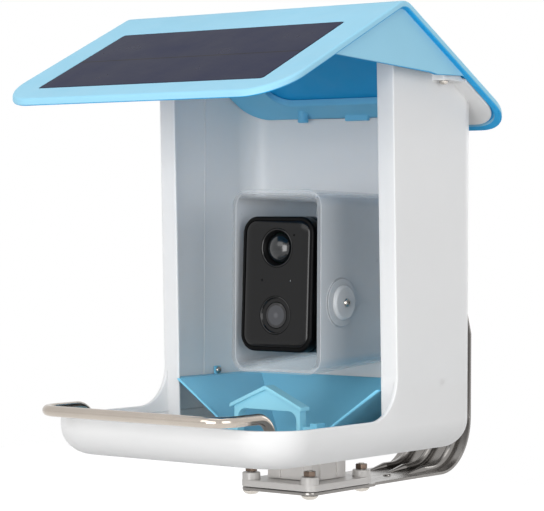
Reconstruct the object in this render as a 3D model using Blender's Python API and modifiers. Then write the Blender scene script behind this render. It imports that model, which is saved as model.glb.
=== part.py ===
"""Smart bird feeder with a tilting camera, hung from a steel wall bracket.

Metres, +Z up, the feeder looks along -Y. The origin is the middle of the bracket's wall face.
"""

import math

import bmesh
import bpy
from mathutils import Matrix, Vector

# Shared clearances and counts
GAP = 0.0003
SLIDE = 0.0004
OVERRUN = 0.02
WELD = 0.000002
ARC_STEPS = 6
ROUND_STEPS = 24
SMALL_STEPS = 12

# Housing
EAVE_SIDE = 0.015
WALL = 0.003
FRONT_Y = -0.3015
REAR_Y = -0.095
BASE_Z = -0.046
RIM_Z = -0.023
FRONT_RADIUS = 0.030
REAR_RADIUS = 0.016
BASE_RADIUS = 0.018
PANEL_FOOT_Y = -0.1852
PANEL_HEAD_Y = -0.1932
FILLET = 0.025
FLANGE = 0.012
RIM_FLANGE = 0.006

# Roof
APEX_Y = -0.201
APEX_Z = 0.2243
FRONT_SLOPE = math.radians(25.3)
REAR_SLOPE = math.radians(28.3)
FRONT_LENGTH = 0.138
REAR_LENGTH = 0.143
ROOF_WIDTH = 0.210
ROOF_RADIUS = 0.026
RIDGE_RADIUS = 0.014
SHEET = 0.0025
RIM_DROP = 0.0042
RIM_LIP = 0.0045
GABLE_INSET = 0.0033
GABLE_THICK = 0.0025
GABLE_FRONT_Y = -0.271
GABLE_FRONT_Z = 0.1878
GABLE_MID_Y = -0.169
GABLE_MID_Z = 0.1829
GABLE_STEP_Y = -0.1626
GABLE_STEP_Z = 0.1819
GABLE_REAR_RUN = 0.0344
GABLE_REAR_Z = 0.183

# Solar panel, measured down the front slope from the apex
PANEL_TOP = 0.035
PANEL_FOOT = 0.1215
PANEL_DIVIDE = 0.0805
PANEL_MARGIN = 0.021
PANEL_CORNER = 0.002
POCKET_DEPTH = 0.0032
PAN_FLOOR = 0.0018
PAN_EDGE = 0.003
BACKING_THICK = 0.001
CELL_THICK = 0.0004
CELL_BORDER = 0.002
CELL_SPLIT = 0.0014
RIBBON_X = 0.040
RIBBON_WIDTH = 0.002
LEAD_HOLE = 0.006
LEAD_BOX_X = 0.034
LEAD_BOX_Y = 0.024
LEAD_BOX_Z = 0.007
GLAND_RADIUS = 0.003
LEAD_BORE = 0.0018
GLAND_LENGTH = 0.006

# Soffit flange and side tabs of the housing
SOFFIT_THICK = 0.0022
SOFFIT_OUT = 0.0102
SOFFIT_RUN = 0.033
SOFFIT_LEDGE = 0.0115
SOFFIT_RADIUS = 0.021
TAB_OUT = 0.0085
TAB_FRONT_RUN = 0.055
TAB_REAR_RUN = 0.031
TAB_FOOT_Z = 0.1795
TAB_TOP_Z = 0.187
ROOF_SCREW_OUT = 0.0045
ROOF_SCREW_RUN = 0.049
ROOF_BOSS = 0.0036
SCREW_SHANK = 0.0015
SCREW_HEAD = 0.003
SCREW_HEAD_Z = 0.002

# Plug ring under the rear slope
LINER_THICK = 0.004
LINER_BORDER_REAR = 0.0145
LINER_BORDER_SIDE = 0.036
LINER_WINDOW_FRONT_Y = -0.168
LINER_FRONT_Y = -0.180
LINER_WINDOW_RADIUS = 0.012
PEG_X = 0.040
PEG_RUN = 0.010
PEG_RADIUS = 0.0035
PEG_FOOT_Z = 0.1588
LINER_TAB = 0.018
LINER_TAB_DROP = 0.002
LINER_SCREW_INSET = 0.020
LINER_SCREW_Y = -0.139
LINER_BITE_SHARE = 0.7

# Funnel, gate and guides
RAMP_THICK = 0.0012
RAMP_TOP_Z = -0.006
RAMP_FRONT_Y = -0.188
RAMP_MOUTH_INSET = 0.013
RAMP_CHUTE_HALF = 0.026
RAMP_CHUTE_BACK_Y = -0.149
RAMP_SCREW_HEAD = 0.0023
RAMP_SCREW_RISE = 0.0014
GATE_GRIP = 0.0016
RAMP_LIP = 0.0022
RAMP_LIP_RISE = 0.0014
RAMP_LEDGE_FRONT_Y = -0.183
RAMP_BACK_LEDGE = 0.003
RAMP_TAB = 0.0016
RAMP_SCREW_Z = -0.0036
RAMP_SCREW_Y = -0.137
RAMP_TAB_HALF = 0.005
RAMP_TAB_RISE = 0.0056
GATE_HALF = 0.0253
GATE_EAVE_HALF = 0.0275
GATE_DEPTH = 0.007
GATE_ROOF_DEPTH = 0.0092
GATE_ROOF_THICK = 0.0022
GATE_APEX_Z = -0.0065
GATE_EAVE_Z = -0.0187
GATE_ARCH_HALF = 0.0225
GATE_ARCH_Z = -0.0215
GATE_ARCH_RADIUS = 0.006
GATE_TONGUE = 0.010
GATE_TONGUE_THICK = 0.0014
GATE_TONGUE_Z = -0.0305
GUIDE_WIDTH = 0.005
GUIDE_TOP_Z = -0.028
GUIDE_DEPTH = 0.008

# Perch
PERCH_RADIUS = 0.0032
PERCH_INSET = 0.022
PERCH_SET_BACK = 0.021
PERCH_REACH = 0.0245
PERCH_Z = -0.017
PERCH_BEND = 0.0125
PERCH_BORE = 0.0019
PERCH_BORE_DEPTH = 0.009

# Clear sleeve round the camera
SLEEVE_HALF = 0.0343
SLEEVE_FRONT_Y = -0.187
SLEEVE_FOOT_Z = 0.0002
SLEEVE_HEAD_Z = 0.1137
SLEEVE_FOOT_RISE = 0.005
SLEEVE_HEAD_DROP = 0.002
SLEEVE_WALL = 0.003
SLEEVE_RADIUS = 0.0105
SLEEVE_FLANGE = 0.0085
BLIND_SHARE = 0.75

# Tilt pivot
PIVOT_Y = -0.166
PIVOT_Z = 0.0444
CAMERA_LEAN = math.radians(-2)
PIVOT_PAD_RADIUS = 0.015
PIVOT_PAD = 0.0015
PIVOT_CAP_RADIUS = 0.01075
PIVOT_CAP = 0.0025
PIVOT_SPACER_RADIUS = 0.012
PIVOT_SHANK = 0.0016
PIVOT_HEAD = 0.0027
PIVOT_SCREW_END_X = 0.0235

# Camera
CAMERA_HALF = 0.0273
CAMERA_FOOT_Z = 0.013
CAMERA_HEAD_Z = 0.0965
CAMERA_FRONT_Y = -0.187
CAMERA_DEPTH = 0.045
CAMERA_RADIUS = 0.0105
CASE_WALL = 0.0018
CASE_EDGE = 0.0014
FRONT_CASE_DEPTH = 0.0085
GASKET_THICK = 0.0006
FACE_THICK = 0.0014
FACE_BORDER = 0.0024
PIR_Z = 0.0771
PIR_RING = 0.01225
PIR_DOME = 0.009
PIR_PROUD = 0.0006
LENS_Z = 0.0355
LENS_RING = 0.012
LENS_GLASS = 0.0078
LENS_THICK = 0.0009
DISH_DEPTH = 0.0036
LED_X = 0.0108
LED_Z = 0.057
LED_RADIUS = 0.0007
MIC_X = 0.013
MIC_Z = 0.085
BOARD_THICK = 0.0014
BOARD_INSET = 0.0045
CELL_RADIUS = 0.009
CELL_LENGTH = 0.065
SPEAKER_RADIUS = 0.010
SPEAKER_THICK = 0.004
BUTTON_RADIUS = 0.0036
BUTTON_PROUD = 0.0012
BUTTON_TRAVEL = 0.0008
BUTTON_STEM = 0.003
BUTTON_Y = -0.152
PORT_HALF = 0.011
PORT_HEIGHT = 0.011
PORT_FOOT_Z = 0.019
PORT_COVER_THICK = 0.0016
USB_HALF = 0.0045
USB_HEIGHT = 0.0032
USB_DEPTH = 0.0065
CASE_SCREW_INSET = 0.0062
CASE_BOSS = 0.0026
CASE_SCREW = 0.0012
CASE_SCREW_HEAD = 0.0022
CASE_SCREW_LENGTH = 0.012
BOARD_SET_BACK = 0.0133
USB_MOUTH = 0.0036
USB_SLOT = 0.0006
USB_RIM = 0.001

# Mount block, plate and bracket
BLOCK_SIZE = 0.0375
BLOCK_Y = -0.1537
BLOCK_HEIGHT = 0.0202
BLOCK_RIB = 0.0012
BLOCK_RIB_WIDTH = 0.004
BLOCK_RIB_X = 0.009
CENTER_BOLT = 0.0025
CENTER_HEAD = 0.0048
CENTER_HEAD_Z = 0.0023
CENTER_NUT = 0.0048
CENTER_NUT_Z = 0.0028
PLATE_X = 0.0573
PLATE_Y = 0.0667
PLATE_THICK = 0.0044
PLATE_RADIUS = 0.006
BOLT_X = 0.0226
BOLT_Y = 0.0276
BOSS_RADIUS = 0.00575
BOSS_HEIGHT = 0.0045
BOLT_RADIUS = 0.002
BOLT_HEAD = 0.0053
BOLT_HEAD_Z = 0.0026
NUT_RADIUS = 0.004
NUT_THICK = 0.0032
BRACKET_WIDTH = 0.050
BRACKET_FOOT_WIDTH = 0.0565
BRACKET_FOOT_END_Y = -0.119
BRACKET_SHOULDER = 0.006
BRACKET_TAPER = 0.004
BRACKET_THICK = 0.002
BRACKET_FRONT_Y = -0.187
BRACKET_BEND = 0.036
BRACKET_HEAD_Z = 0.0375
BRACKET_CORNER = 0.006
BRACKET_RIB_X = 0.0155
BRACKET_RIB = 0.0029
BRACKET_RIB_RUN = 0.014
WALL_HOLE_X = 0.014
WALL_HOLE_Z = 0.022
WALL_HOLE = 0.00275
RIVET_X = 0.0095
RIVET_Y = -0.078
RIVET_HEAD = 0.0028
RIVET_RISE = 0.0016
RIVET_SHANK = 0.0015

# Solar lead's way in
GROMMET_Z = 0.132
GROMMET_RADIUS = 0.007
GROMMET_NECK = 0.005
GROMMET_BORE = 0.0028
GROMMET_LIP = 0.0015

# Places that follow from the sizes above
HOUSE_WIDTH = ROOF_WIDTH - 2 * EAVE_SIDE
HALF = HOUSE_WIDTH / 2
GABLE_FACE_X = ROOF_WIDTH / 2 - GABLE_INSET
GABLE_REAR_Y = REAR_Y - GABLE_REAR_RUN
PANEL_WIDTH = ROOF_WIDTH - 2 * PANEL_MARGIN
SOFFIT_HALF = HALF + SOFFIT_OUT
SOFFIT_FRONT_Y = REAR_Y - SOFFIT_RUN
SOFFIT_REAR_Y = REAR_Y + SOFFIT_LEDGE
TAB_FRONT_Y = REAR_Y - TAB_FRONT_RUN
TAB_REAR_Y = REAR_Y - TAB_REAR_RUN
ROOF_SCREW_X = HALF + ROOF_SCREW_OUT
ROOF_SCREW_Y = REAR_Y - ROOF_SCREW_RUN
LINER_WINDOW_HALF = HALF - LINER_BORDER_SIDE
LINER_SCREW_X = HALF - LINER_SCREW_INSET
PEG_Y = REAR_Y - PEG_RUN
RAMP_MOUTH_HALF = HALF - RAMP_MOUTH_INSET
PERCH_HALF = HALF - PERCH_INSET
PERCH_LEG_Y = FRONT_Y + PERCH_SET_BACK
PERCH_BAR_Y = FRONT_Y - PERCH_REACH
GROMMET_X = HALF / 2
INNER_HALF = HALF - WALL
FLOOR_Z = BASE_Z + WALL
BACK_Y = REAR_Y - WALL
RAMP_CHUTE_Z = FLOOR_Z + GAP + RAMP_THICK
PIVOT = Vector((0, PIVOT_Y, PIVOT_Z))
BRACKET_TOP_Z = BASE_Z - GAP - BLOCK_HEIGHT - GAP - PLATE_THICK - GAP
PLATE_TOP_Z = BASE_Z - GAP - BLOCK_HEIGHT - GAP
CASE_SEAM_Y = CAMERA_FRONT_Y + FRONT_CASE_DEPTH
CAMERA_REAR_Y = CAMERA_FRONT_Y + CAMERA_DEPTH

parts = None
cutters = None


def slope_point(side, along, below):
    """A point (y, z) on the rear (+1) or front (-1) slope, so far from the apex and below the top plane."""
    angle = REAR_SLOPE if side > 0 else FRONT_SLOPE
    y = APEX_Y + side * (along * math.cos(angle) - below * math.sin(angle))
    z = APEX_Z - along * math.sin(angle) - below * math.cos(angle)
    return y, z


def rear_z(y, below):
    """Height at y of the plane that lies so far below the rear slope's top plane."""
    return APEX_Z - (y - APEX_Y) * math.tan(REAR_SLOPE) - below / math.cos(REAR_SLOPE)


def front_z(y, below):
    """Height at y of the plane that lies so far below the front slope's top plane."""
    return APEX_Z - (APEX_Y - y) * math.tan(FRONT_SLOPE) - below / math.cos(FRONT_SLOPE)


def apex_below(below):
    """Where the two planes that lie so far below the slopes meet."""
    front, rear = math.tan(FRONT_SLOPE), math.tan(REAR_SLOPE)
    step = below / math.cos(REAR_SLOPE) - below / math.cos(FRONT_SLOPE)
    y = APEX_Y - step / (front + rear)
    return y, front_z(y, below)


def rounded(points, radii, steps=ARC_STEPS):
    """An outline with each corner replaced by an arc of its own radius."""
    if not isinstance(radii, (list, tuple)):
        radii = [radii] * len(points)
    done = []
    for i, radius in enumerate(radii):
        here = Vector(points[i])
        if radius <= 0:
            done.append(tuple(here))
            continue
        before = (Vector(points[i - 1]) - here).normalized()
        after = (Vector(points[(i + 1) % len(points)]) - here).normalized()
        half = before.angle(after) / 2
        middle = here + (before + after).normalized() * radius / math.sin(half)
        start = here + before * radius / math.tan(half) - middle
        sweep = start.angle_signed(here + after * radius / math.tan(half) - middle)
        for step in range(steps + 1):
            turn = -sweep * step / steps
            c, s = math.cos(turn), math.sin(turn)
            done.append((middle.x + start.x * c - start.y * s, middle.y + start.x * s + start.y * c))
    return done


def rectangle(u0, u1, v0, v1, radii=0, steps=ARC_STEPS):
    return rounded([(u0, v0), (u1, v0), (u1, v1), (u0, v1)], radii, steps)


def circle(u, v, radius, steps=ROUND_STEPS):
    turns = [2 * math.pi * i / steps for i in range(steps)]
    return [(u + radius * math.cos(t), v + radius * math.sin(t)) for t in turns]


def add(name, mesh, cutter=False):
    """A new object in the feeder's collection, or in the cutters' one."""
    made = bpy.data.objects.new(name, mesh)
    (cutters if cutter else parts).objects.link(made)
    if cutter:
        made.hide_render = True
        made.display_type = "WIRE"
    return made


def mesh_from(maker):
    """The mesh of a curve or of an object with modifiers, welded and facing outward."""
    bpy.context.view_layer.update()
    graph = bpy.context.evaluated_depsgraph_get()
    mesh = bpy.data.meshes.new_from_object(maker.evaluated_get(graph))
    mesh.transform(maker.matrix_world)
    bpy.data.objects.remove(maker)
    bm = bmesh.new()
    bm.from_mesh(mesh)
    bmesh.ops.remove_doubles(bm, verts=bm.verts, dist=WELD)
    bmesh.ops.recalc_face_normals(bm, faces=bm.faces)
    bm.to_mesh(mesh)
    bm.free()
    return mesh


AXES = {
    "X": Matrix(((0, 0, 1, 0), (1, 0, 0, 0), (0, 1, 0, 0), (0, 0, 0, 1))),
    "Y": Matrix(((1, 0, 0, 0), (0, 0, -1, 0), (0, 1, 0, 0), (0, 0, 0, 1))),
    "Z": Matrix.Identity(4),
}


def extruded(name, axis, low, high, *outlines, cutter=False):
    """A solid with a flat outline, and holes if there are more outlines, from low to high along an axis.

    The outline's two numbers are (y, z) along X, (x, z) along Y and (x, y) along Z.
    """
    curve = bpy.data.curves.new(name, "CURVE")
    curve.dimensions = "2D"
    curve.fill_mode = "BOTH"
    curve.extrude = (high - low) / 2
    for outline in outlines:
        spline = curve.splines.new("POLY")
        spline.points.add(len(outline) - 1)
        for point, (u, v) in zip(spline.points, outline):
            point.co = (u, v, 0, 1)
        spline.use_cyclic_u = True
    maker = bpy.data.objects.new(name, curve)
    bpy.context.scene.collection.objects.link(maker)
    middle = (low + high) / 2
    maker.matrix_world = AXES[axis] @ Matrix.Translation((0, 0, -middle if axis == "Y" else middle))
    return add(name, mesh_from(maker), cutter)


def box(name, low, high, cutter=False):
    mesh = bpy.data.meshes.new(name)
    bm = bmesh.new()
    bmesh.ops.create_cube(bm, size=1)
    low, high = Vector(low), Vector(high)
    size = high - low
    place = Matrix.Translation((low + high) / 2) @ Matrix.Diagonal((*size, 1))
    bmesh.ops.transform(bm, matrix=place, verts=bm.verts)
    bm.to_mesh(mesh)
    bm.free()
    return add(name, mesh, cutter)


def tapered(name, foot, head, low, high, cutter=False):
    """A block between a lower and an upper rectangle, each given as (x0, x1, y0, y1)."""
    made = box(name, (-1, -1, low), (1, 1, high), cutter)
    for vertex in made.data.vertices:
        x0, x1, y0, y1 = foot if vertex.co.z < (low + high) / 2 else head
        vertex.co.x = x0 if vertex.co.x < 0 else x1
        vertex.co.y = y0 if vertex.co.y < 0 else y1
    return made


TURNS = {
    "X": Matrix.Rotation(math.pi / 2, 4, "Y"),
    "-X": Matrix.Rotation(-math.pi / 2, 4, "Y"),
    "Y": Matrix.Rotation(-math.pi / 2, 4, "X"),
    "-Y": Matrix.Rotation(math.pi / 2, 4, "X"),
    "Z": Matrix.Identity(4),
    "-Z": Matrix.Rotation(math.pi, 4, "X"),
}


def turned(name, place, axis, profile, steps=ROUND_STEPS, cutter=False):
    """A turned solid at place: its profile is (radius, height along the axis), from top to bottom."""
    mesh = bpy.data.meshes.new(name)
    bm = bmesh.new()
    points = [bm.verts.new((radius, 0, height)) for radius, height in profile]
    for a, b in zip(points, points[1:]):
        bm.edges.new((a, b))
    if profile[0][0] > 0:
        bm.edges.new((points[-1], points[0]))
    bm.to_mesh(mesh)
    bm.free()
    maker = bpy.data.objects.new(name, mesh)
    bpy.context.scene.collection.objects.link(maker)
    screw = maker.modifiers.new("turn", "SCREW")
    screw.steps = screw.render_steps = steps
    screw.use_merge_vertices = True
    screw.merge_threshold = WELD
    turn = TURNS[axis] if isinstance(axis, str) else axis.to_track_quat("Z", "Y").to_matrix().to_4x4()
    maker.matrix_world = Matrix.Translation(place) @ turn
    made = add(name, mesh_from(maker), cutter)
    made.data.shade_smooth()
    made.data.set_sharp_from_angle(angle=math.radians(35))
    return made


def rod(name, place, axis, radius, length, steps=ROUND_STEPS, cutter=False):
    """A plain cylinder that starts at place and runs along the axis."""
    return turned(name, place, axis, [(0, length), (radius, length), (radius, 0), (0, 0)], steps, cutter)


def ring(name, place, axis, bore, radius, length, steps=ROUND_STEPS):
    return turned(name, place, axis, [(bore, length), (radius, length), (radius, 0), (bore, 0)], steps)


DOME_SHARES = ((0, 1), (0.6, 0.85), (1, 0.25), (1, 0))


def screw(name, place, axis, shank, length, head, head_height, steps=SMALL_STEPS):
    """A domed screw whose head's underside is at place and whose shank runs along the axis."""
    dome = [(head * out, -head_height * up) for out, up in DOME_SHARES]
    profile = dome + [(shank, 0), (shank, length), (0, length)]
    return turned(name, place, axis, profile[::-1], steps)


def flat_screw(name, place, axis, shank, length, head, head_height, steps=SMALL_STEPS):
    """A countersunk screw whose flat head is at place and whose shank runs along the axis."""
    return turned(name, place, axis, [(0, length), (shank, length), (shank, head_height), (head, 0), (0, 0)], steps)


def sink(name, place, axis, shank, length, head, head_height, steps=SMALL_STEPS):
    """The cutter for a countersunk screw of these sizes: its faces keep clear of the screw's own."""
    steep = (head - shank) / head_height
    wide = head + 2 * GAP * (1 + steep)
    narrow = shank + GAP
    profile = [(0, length), (narrow, length), (narrow, GAP + (head - shank + GAP) / steep), (wide, -GAP),
               (wide, -OVERRUN), (0, -OVERRUN)]
    return turned(name, place, axis, profile, steps, cutter=True)


def tube(name, points, radius, segments=3, cutter=False):
    """A round bar along a line of points."""
    curve = bpy.data.curves.new(name, "CURVE")
    curve.dimensions = "3D"
    curve.bevel_depth = radius
    curve.bevel_resolution = segments
    curve.use_fill_caps = True
    spline = curve.splines.new("POLY")
    spline.points.add(len(points) - 1)
    for point, co in zip(spline.points, points):
        point.co = (*co, 1)
    maker = bpy.data.objects.new(name, curve)
    bpy.context.scene.collection.objects.link(maker)
    made = add(name, mesh_from(maker), cutter)
    made.data.shade_smooth()
    made.data.set_sharp_from_angle(angle=math.radians(40))
    return made


def combine(target, operation, others):
    """Adds an exact Boolean to target for each other object and puts those with the cutters."""
    for other in others:
        if other.name in parts.objects:
            parts.objects.unlink(other)
            cutters.objects.link(other)
            other.hide_render = True
            other.display_type = "WIRE"
        step = target.modifiers.new(other.name, "BOOLEAN")
        step.operation = operation
        step.solver = "EXACT"
        step.object = other
    return target


def cut(target, *others):
    return combine(target, "DIFFERENCE", others)


def join(target, *others):
    return combine(target, "UNION", others)


def common(target, *others):
    return combine(target, "INTERSECT", others)


def dress(made, colour, roughness, metallic=0.0, see_through=0.0):
    """Gives an object its own material."""
    look = bpy.data.materials.new(made.name)
    look.use_nodes = True
    shader = look.node_tree.nodes["Principled BSDF"]
    shader.inputs["Base Color"].default_value = (*colour, 1)
    shader.inputs["Roughness"].default_value = roughness
    shader.inputs["Metallic"].default_value = metallic
    shader.inputs["Transmission Weight"].default_value = see_through
    made.data.materials.clear()
    made.data.materials.append(look)
    return made


SKY = (0.39, 0.69, 0.84)
WHITE = (0.80, 0.80, 0.81)
BLACK = (0.015, 0.015, 0.017)
STEEL = (0.55, 0.53, 0.50)
CLEAR = (0.75, 0.78, 0.80)
PANEL = (0.06, 0.06, 0.09)
RUBBER = (0.03, 0.03, 0.03)
SIDES = (("left", -1), ("right", 1))


def slope_plate(name, side, half, top, foot, above, below, radius=0.0, cutter=False):
    """A plate that lies in a slope: half width, both ends down the slope and the depths of both faces."""
    low, high = (top, foot) if side > 0 else (-foot, -top)
    made = extruded(name, "Z", -below, -above, rectangle(-half, half, low, high, radius), cutter=cutter)
    angle = -REAR_SLOPE if side > 0 else FRONT_SLOPE
    made.data.transform(Matrix.Translation((0, APEX_Y, APEX_Z)) @ Matrix.Rotation(angle, 4, "X"))
    return made


def under_roof(name, below, half):
    """Everything under the planes that lie so far below both slopes."""
    front, rear = slope_point(-1, FRONT_LENGTH, below), slope_point(1, REAR_LENGTH, below)
    ridge = max(RIDGE_RADIUS - below, 0)
    foot = APEX_Z - REAR_LENGTH
    outline = rounded([front, (front[0], foot), (rear[0], foot), rear, apex_below(below)], [0, 0, 0, 0, ridge])
    return extruded(name, "X", -half, half, outline, cutter=True)


def make_roof():
    half = ROOF_WIDTH / 2
    behind, before = REAR_LENGTH + OVERRUN, FRONT_LENGTH + OVERRUN
    ends = [slope_point(1, behind, 0), slope_point(1, behind, RIM_DROP)]
    ends += [apex_below(RIM_DROP), slope_point(-1, before, RIM_DROP), slope_point(-1, before, 0)]
    ridge = [0, 0, RIDGE_RADIUS - RIM_DROP, 0, 0, RIDGE_RADIUS]
    roof = extruded("roof_shell", "X", -half - OVERRUN, half + OVERRUN, rounded(ends + [(APEX_Y, APEX_Z)], ridge))
    front, rear = slope_point(-1, FRONT_LENGTH, 0)[0], slope_point(1, REAR_LENGTH, 0)[0]
    plan = rectangle(-half, half, front, rear, ROOF_RADIUS)
    common(roof, extruded("roof_plan", "Z", 0, APEX_Z + OVERRUN, plan, cutter=True))

    inner = half - RIM_LIP
    low, high = slope_point(-1, FRONT_LENGTH - RIM_LIP, SHEET), slope_point(1, REAR_LENGTH - RIM_LIP, SHEET)
    hollow = extruded("roof_hollow", "Z", 0, APEX_Z, rectangle(-inner, inner, low[0], high[0],
                      ROOF_RADIUS - RIM_LIP), cutter=True)
    common(hollow, under_roof("roof_underside", SHEET, half))
    cut(roof, hollow)

    lower = [(GABLE_FRONT_Y, GABLE_FRONT_Z), (GABLE_MID_Y, GABLE_MID_Z), (GABLE_STEP_Y, GABLE_STEP_Z)]
    lower += [(GABLE_REAR_Y, GABLE_REAR_Z), (GABLE_REAR_Y, rear_z(GABLE_REAR_Y, SHEET / 2))]
    upper = [apex_below(SHEET / 2), (GABLE_FRONT_Y, front_z(GABLE_FRONT_Y, SHEET / 2))]
    gable = rounded(lower + upper, [0, 0, 0, 0, 0, RIDGE_RADIUS - SHEET / 2, 0])
    for side in (-1, 1):
        faces = sorted((side * GABLE_FACE_X, side * (GABLE_FACE_X - GABLE_THICK)))
        join(roof, extruded("gable", "X", *faces, gable, cutter=True))

    pan = slope_plate("solar_pan", -1, PANEL_WIDTH / 2 + PAN_EDGE, PANEL_TOP - PAN_EDGE,
                      PANEL_FOOT + PAN_EDGE, SHEET / 2, POCKET_DEPTH + PAN_FLOOR, cutter=True)
    join(roof, pan)
    cut(roof, slope_plate("solar_pocket", -1, PANEL_WIDTH / 2, PANEL_TOP, PANEL_FOOT,
                          -OVERRUN, POCKET_DEPTH, PANEL_CORNER, cutter=True))
    normal = Vector((0, -math.sin(FRONT_SLOPE), math.cos(FRONT_SLOPE)))
    y, z = slope_point(-1, PANEL_DIVIDE, POCKET_DEPTH + PAN_FLOOR + OVERRUN)
    cut(roof, rod("lead_hole", (0, y, z), normal, LEAD_HOLE / 2, 2 * OVERRUN, SMALL_STEPS, cutter=True))

    for side in (-1, 1):
        place = (side * ROOF_SCREW_X, ROOF_SCREW_Y, TAB_TOP_Z + GAP)
        boss = rod("roof_boss", place, "Z", ROOF_BOSS, OVERRUN, cutter=True)
        common(boss, under_roof("boss_top", SHEET / 2, half))
        join(roof, boss)
        place = (side * ROOF_SCREW_X, ROOF_SCREW_Y, TAB_FOOT_Z - OVERRUN)
        reach = roof_bore_end() - place[2]
        cut(roof, rod("roof_boss_bore", place, "Z", SCREW_SHANK + GAP, reach, SMALL_STEPS, cutter=True))
    for _, place, up in liner_screw_places():
        start = place + up * LINER_THICK
        cut(roof, rod("liner_bore", start, up, SCREW_SHANK + GAP, GAP + SHEET * LINER_BITE_SHARE, SMALL_STEPS,
                      cutter=True))
    dress(roof, SKY, 0.4)


def roof_bore_end():
    """How high the side screws' bores reach without breaking into the roof's sheet."""
    return rear_z(ROOF_SCREW_Y + SCREW_SHANK + GAP, SHEET)


def liner_screw_places():
    """Where each screw meets the plug ring's lower face, and the way it points."""
    up = Vector((0, math.sin(REAR_SLOPE), math.cos(REAR_SLOPE)))
    below = SHEET + GAP + LINER_THICK
    for name, side in SIDES:
        yield name, Vector((side * LINER_SCREW_X, LINER_SCREW_Y, rear_z(LINER_SCREW_Y, below))), up


def make_liner():
    half, rear = INNER_HALF - SLIDE, BACK_Y - SLIDE
    radii = [0, 0, REAR_RADIUS - WALL, REAR_RADIUS - WALL]
    window = rectangle(-LINER_WINDOW_HALF, LINER_WINDOW_HALF, LINER_WINDOW_FRONT_Y, rear - LINER_BORDER_REAR,
                       LINER_WINDOW_RADIUS)
    below = SHEET + GAP
    reach = (rear - APEX_Y) / math.cos(REAR_SLOPE) + OVERRUN
    top = slope_plate("roof_liner", 1, half + OVERRUN, 0, reach, below, below + LINER_THICK)
    common(top, extruded("liner_plan", "Z", 0, APEX_Z, rectangle(-half, half, LINER_FRONT_Y, rear, radii),
                         window, cutter=True))
    foot = rear_z(rear, below + LINER_THICK) - LINER_TAB_DROP
    tab = box("liner_tab", (-LINER_TAB / 2, rear - PEG_RADIUS, foot),
              (LINER_TAB / 2, rear - GAP, foot + LINER_THICK), cutter=True)
    join(top, tab)
    for side in (-1, 1):
        reach = rear_z(PEG_Y, below + LINER_THICK / 2) - PEG_FOOT_Z
        join(top, rod("liner_peg", (side * PEG_X, PEG_Y, PEG_FOOT_Z), "Z", PEG_RADIUS, reach, cutter=True))
    reach = LINER_THICK + GAP + SHEET * LINER_BITE_SHARE - GAP
    for name, place, up in liner_screw_places():
        cut(top, rod("liner_hole", place - up * OVERRUN, up, SCREW_SHANK + GAP, 2 * OVERRUN, SMALL_STEPS,
                     cutter=True))
        dress(screw("liner_screw_" + name, place - up * GAP, up, SCREW_SHANK, reach, SCREW_HEAD, SCREW_HEAD_Z),
              STEEL, 0.3, 1.0)
    dress(top, SKY, 0.45)


def make_solar():
    inner = PANEL_WIDTH / 2 - GAP
    top, foot = PANEL_TOP + GAP, PANEL_FOOT - GAP
    floor = POCKET_DEPTH - GAP
    backing = slope_plate("solar_backing", -1, inner, top, foot, floor - BACKING_THICK, floor, PANEL_CORNER)
    normal = Vector((0, -math.sin(FRONT_SLOPE), math.cos(FRONT_SLOPE)))
    y, z = slope_point(-1, PANEL_DIVIDE, floor + OVERRUN)
    cut(backing, rod("pad_hole", (0, y, z), normal, LEAD_HOLE / 2, 2 * OVERRUN, SMALL_STEPS, cutter=True))
    dress(backing, WHITE, 0.5)
    cell_foot = floor - BACKING_THICK - GAP
    edge = inner - CELL_BORDER
    cells = slope_plate("solar_cells", -1, edge, top + CELL_BORDER, foot - CELL_BORDER, cell_foot - CELL_THICK,
                        cell_foot)
    start, width = -edge - OVERRUN, edge + OVERRUN - RIBBON_X - RIBBON_WIDTH / 2
    for low, high in ((start, start + width), (-RIBBON_X + RIBBON_WIDTH / 2, RIBBON_X - RIBBON_WIDTH / 2),
                      (-start - width, -start)):
        split = slope_plate("cell_split", -1, (high - low) / 2, PANEL_DIVIDE - CELL_SPLIT / 2,
                            PANEL_DIVIDE + CELL_SPLIT / 2, cell_foot - OVERRUN, cell_foot + OVERRUN, cutter=True)
        split.data.transform(Matrix.Translation(((low + high) / 2, 0, 0)))
        cut(cells, split)
    dress(cells, PANEL, 0.3)
    dress(slope_plate("solar_cover", -1, inner, top, foot, 0, cell_foot - CELL_THICK - GAP, PANEL_CORNER),
          PANEL, 0.15)
    under = POCKET_DEPTH + PAN_FLOOR + GAP
    lead_box = slope_plate("solar_lead_box", -1, LEAD_BOX_X / 2, PANEL_DIVIDE - LEAD_BOX_Y / 2,
                           PANEL_DIVIDE + LEAD_BOX_Y / 2, under, under + LEAD_BOX_Z, PANEL_CORNER)
    uphill = Vector((0, math.cos(FRONT_SLOPE), math.sin(FRONT_SLOPE)))
    y, z = slope_point(-1, PANEL_DIVIDE - LEAD_BOX_Y / 2, under + LEAD_BOX_Z / 2)
    place = Vector((0, y, z))
    join(lead_box, rod("lead_gland", place - uphill * GLAND_LENGTH, uphill, GLAND_RADIUS, 2 * GLAND_LENGTH, SMALL_STEPS,
                       cutter=True))
    cut(lead_box, rod("lead_bore", place - uphill * GLAND_LENGTH, uphill, LEAD_BORE, OVERRUN, SMALL_STEPS,
                      cutter=True))
    dress(lead_box, BLACK, 0.5)


def make_roof_screws():
    reach = roof_bore_end() - TAB_FOOT_Z
    for name, side in SIDES:
        made = screw("roof_screw_" + name, (side * ROOF_SCREW_X, ROOF_SCREW_Y, TAB_FOOT_Z - GAP), "Z", SCREW_SHANK,
                     reach, SCREW_HEAD, SCREW_HEAD_Z)
        dress(made, STEEL, 0.3, 1.0)


def house_plan(inset):
    front, rear = FRONT_RADIUS - inset, REAR_RADIUS - inset
    half = HALF - inset
    return rectangle(-half, half, FRONT_Y + inset, REAR_Y - inset, [front, front, rear, rear])


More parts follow.
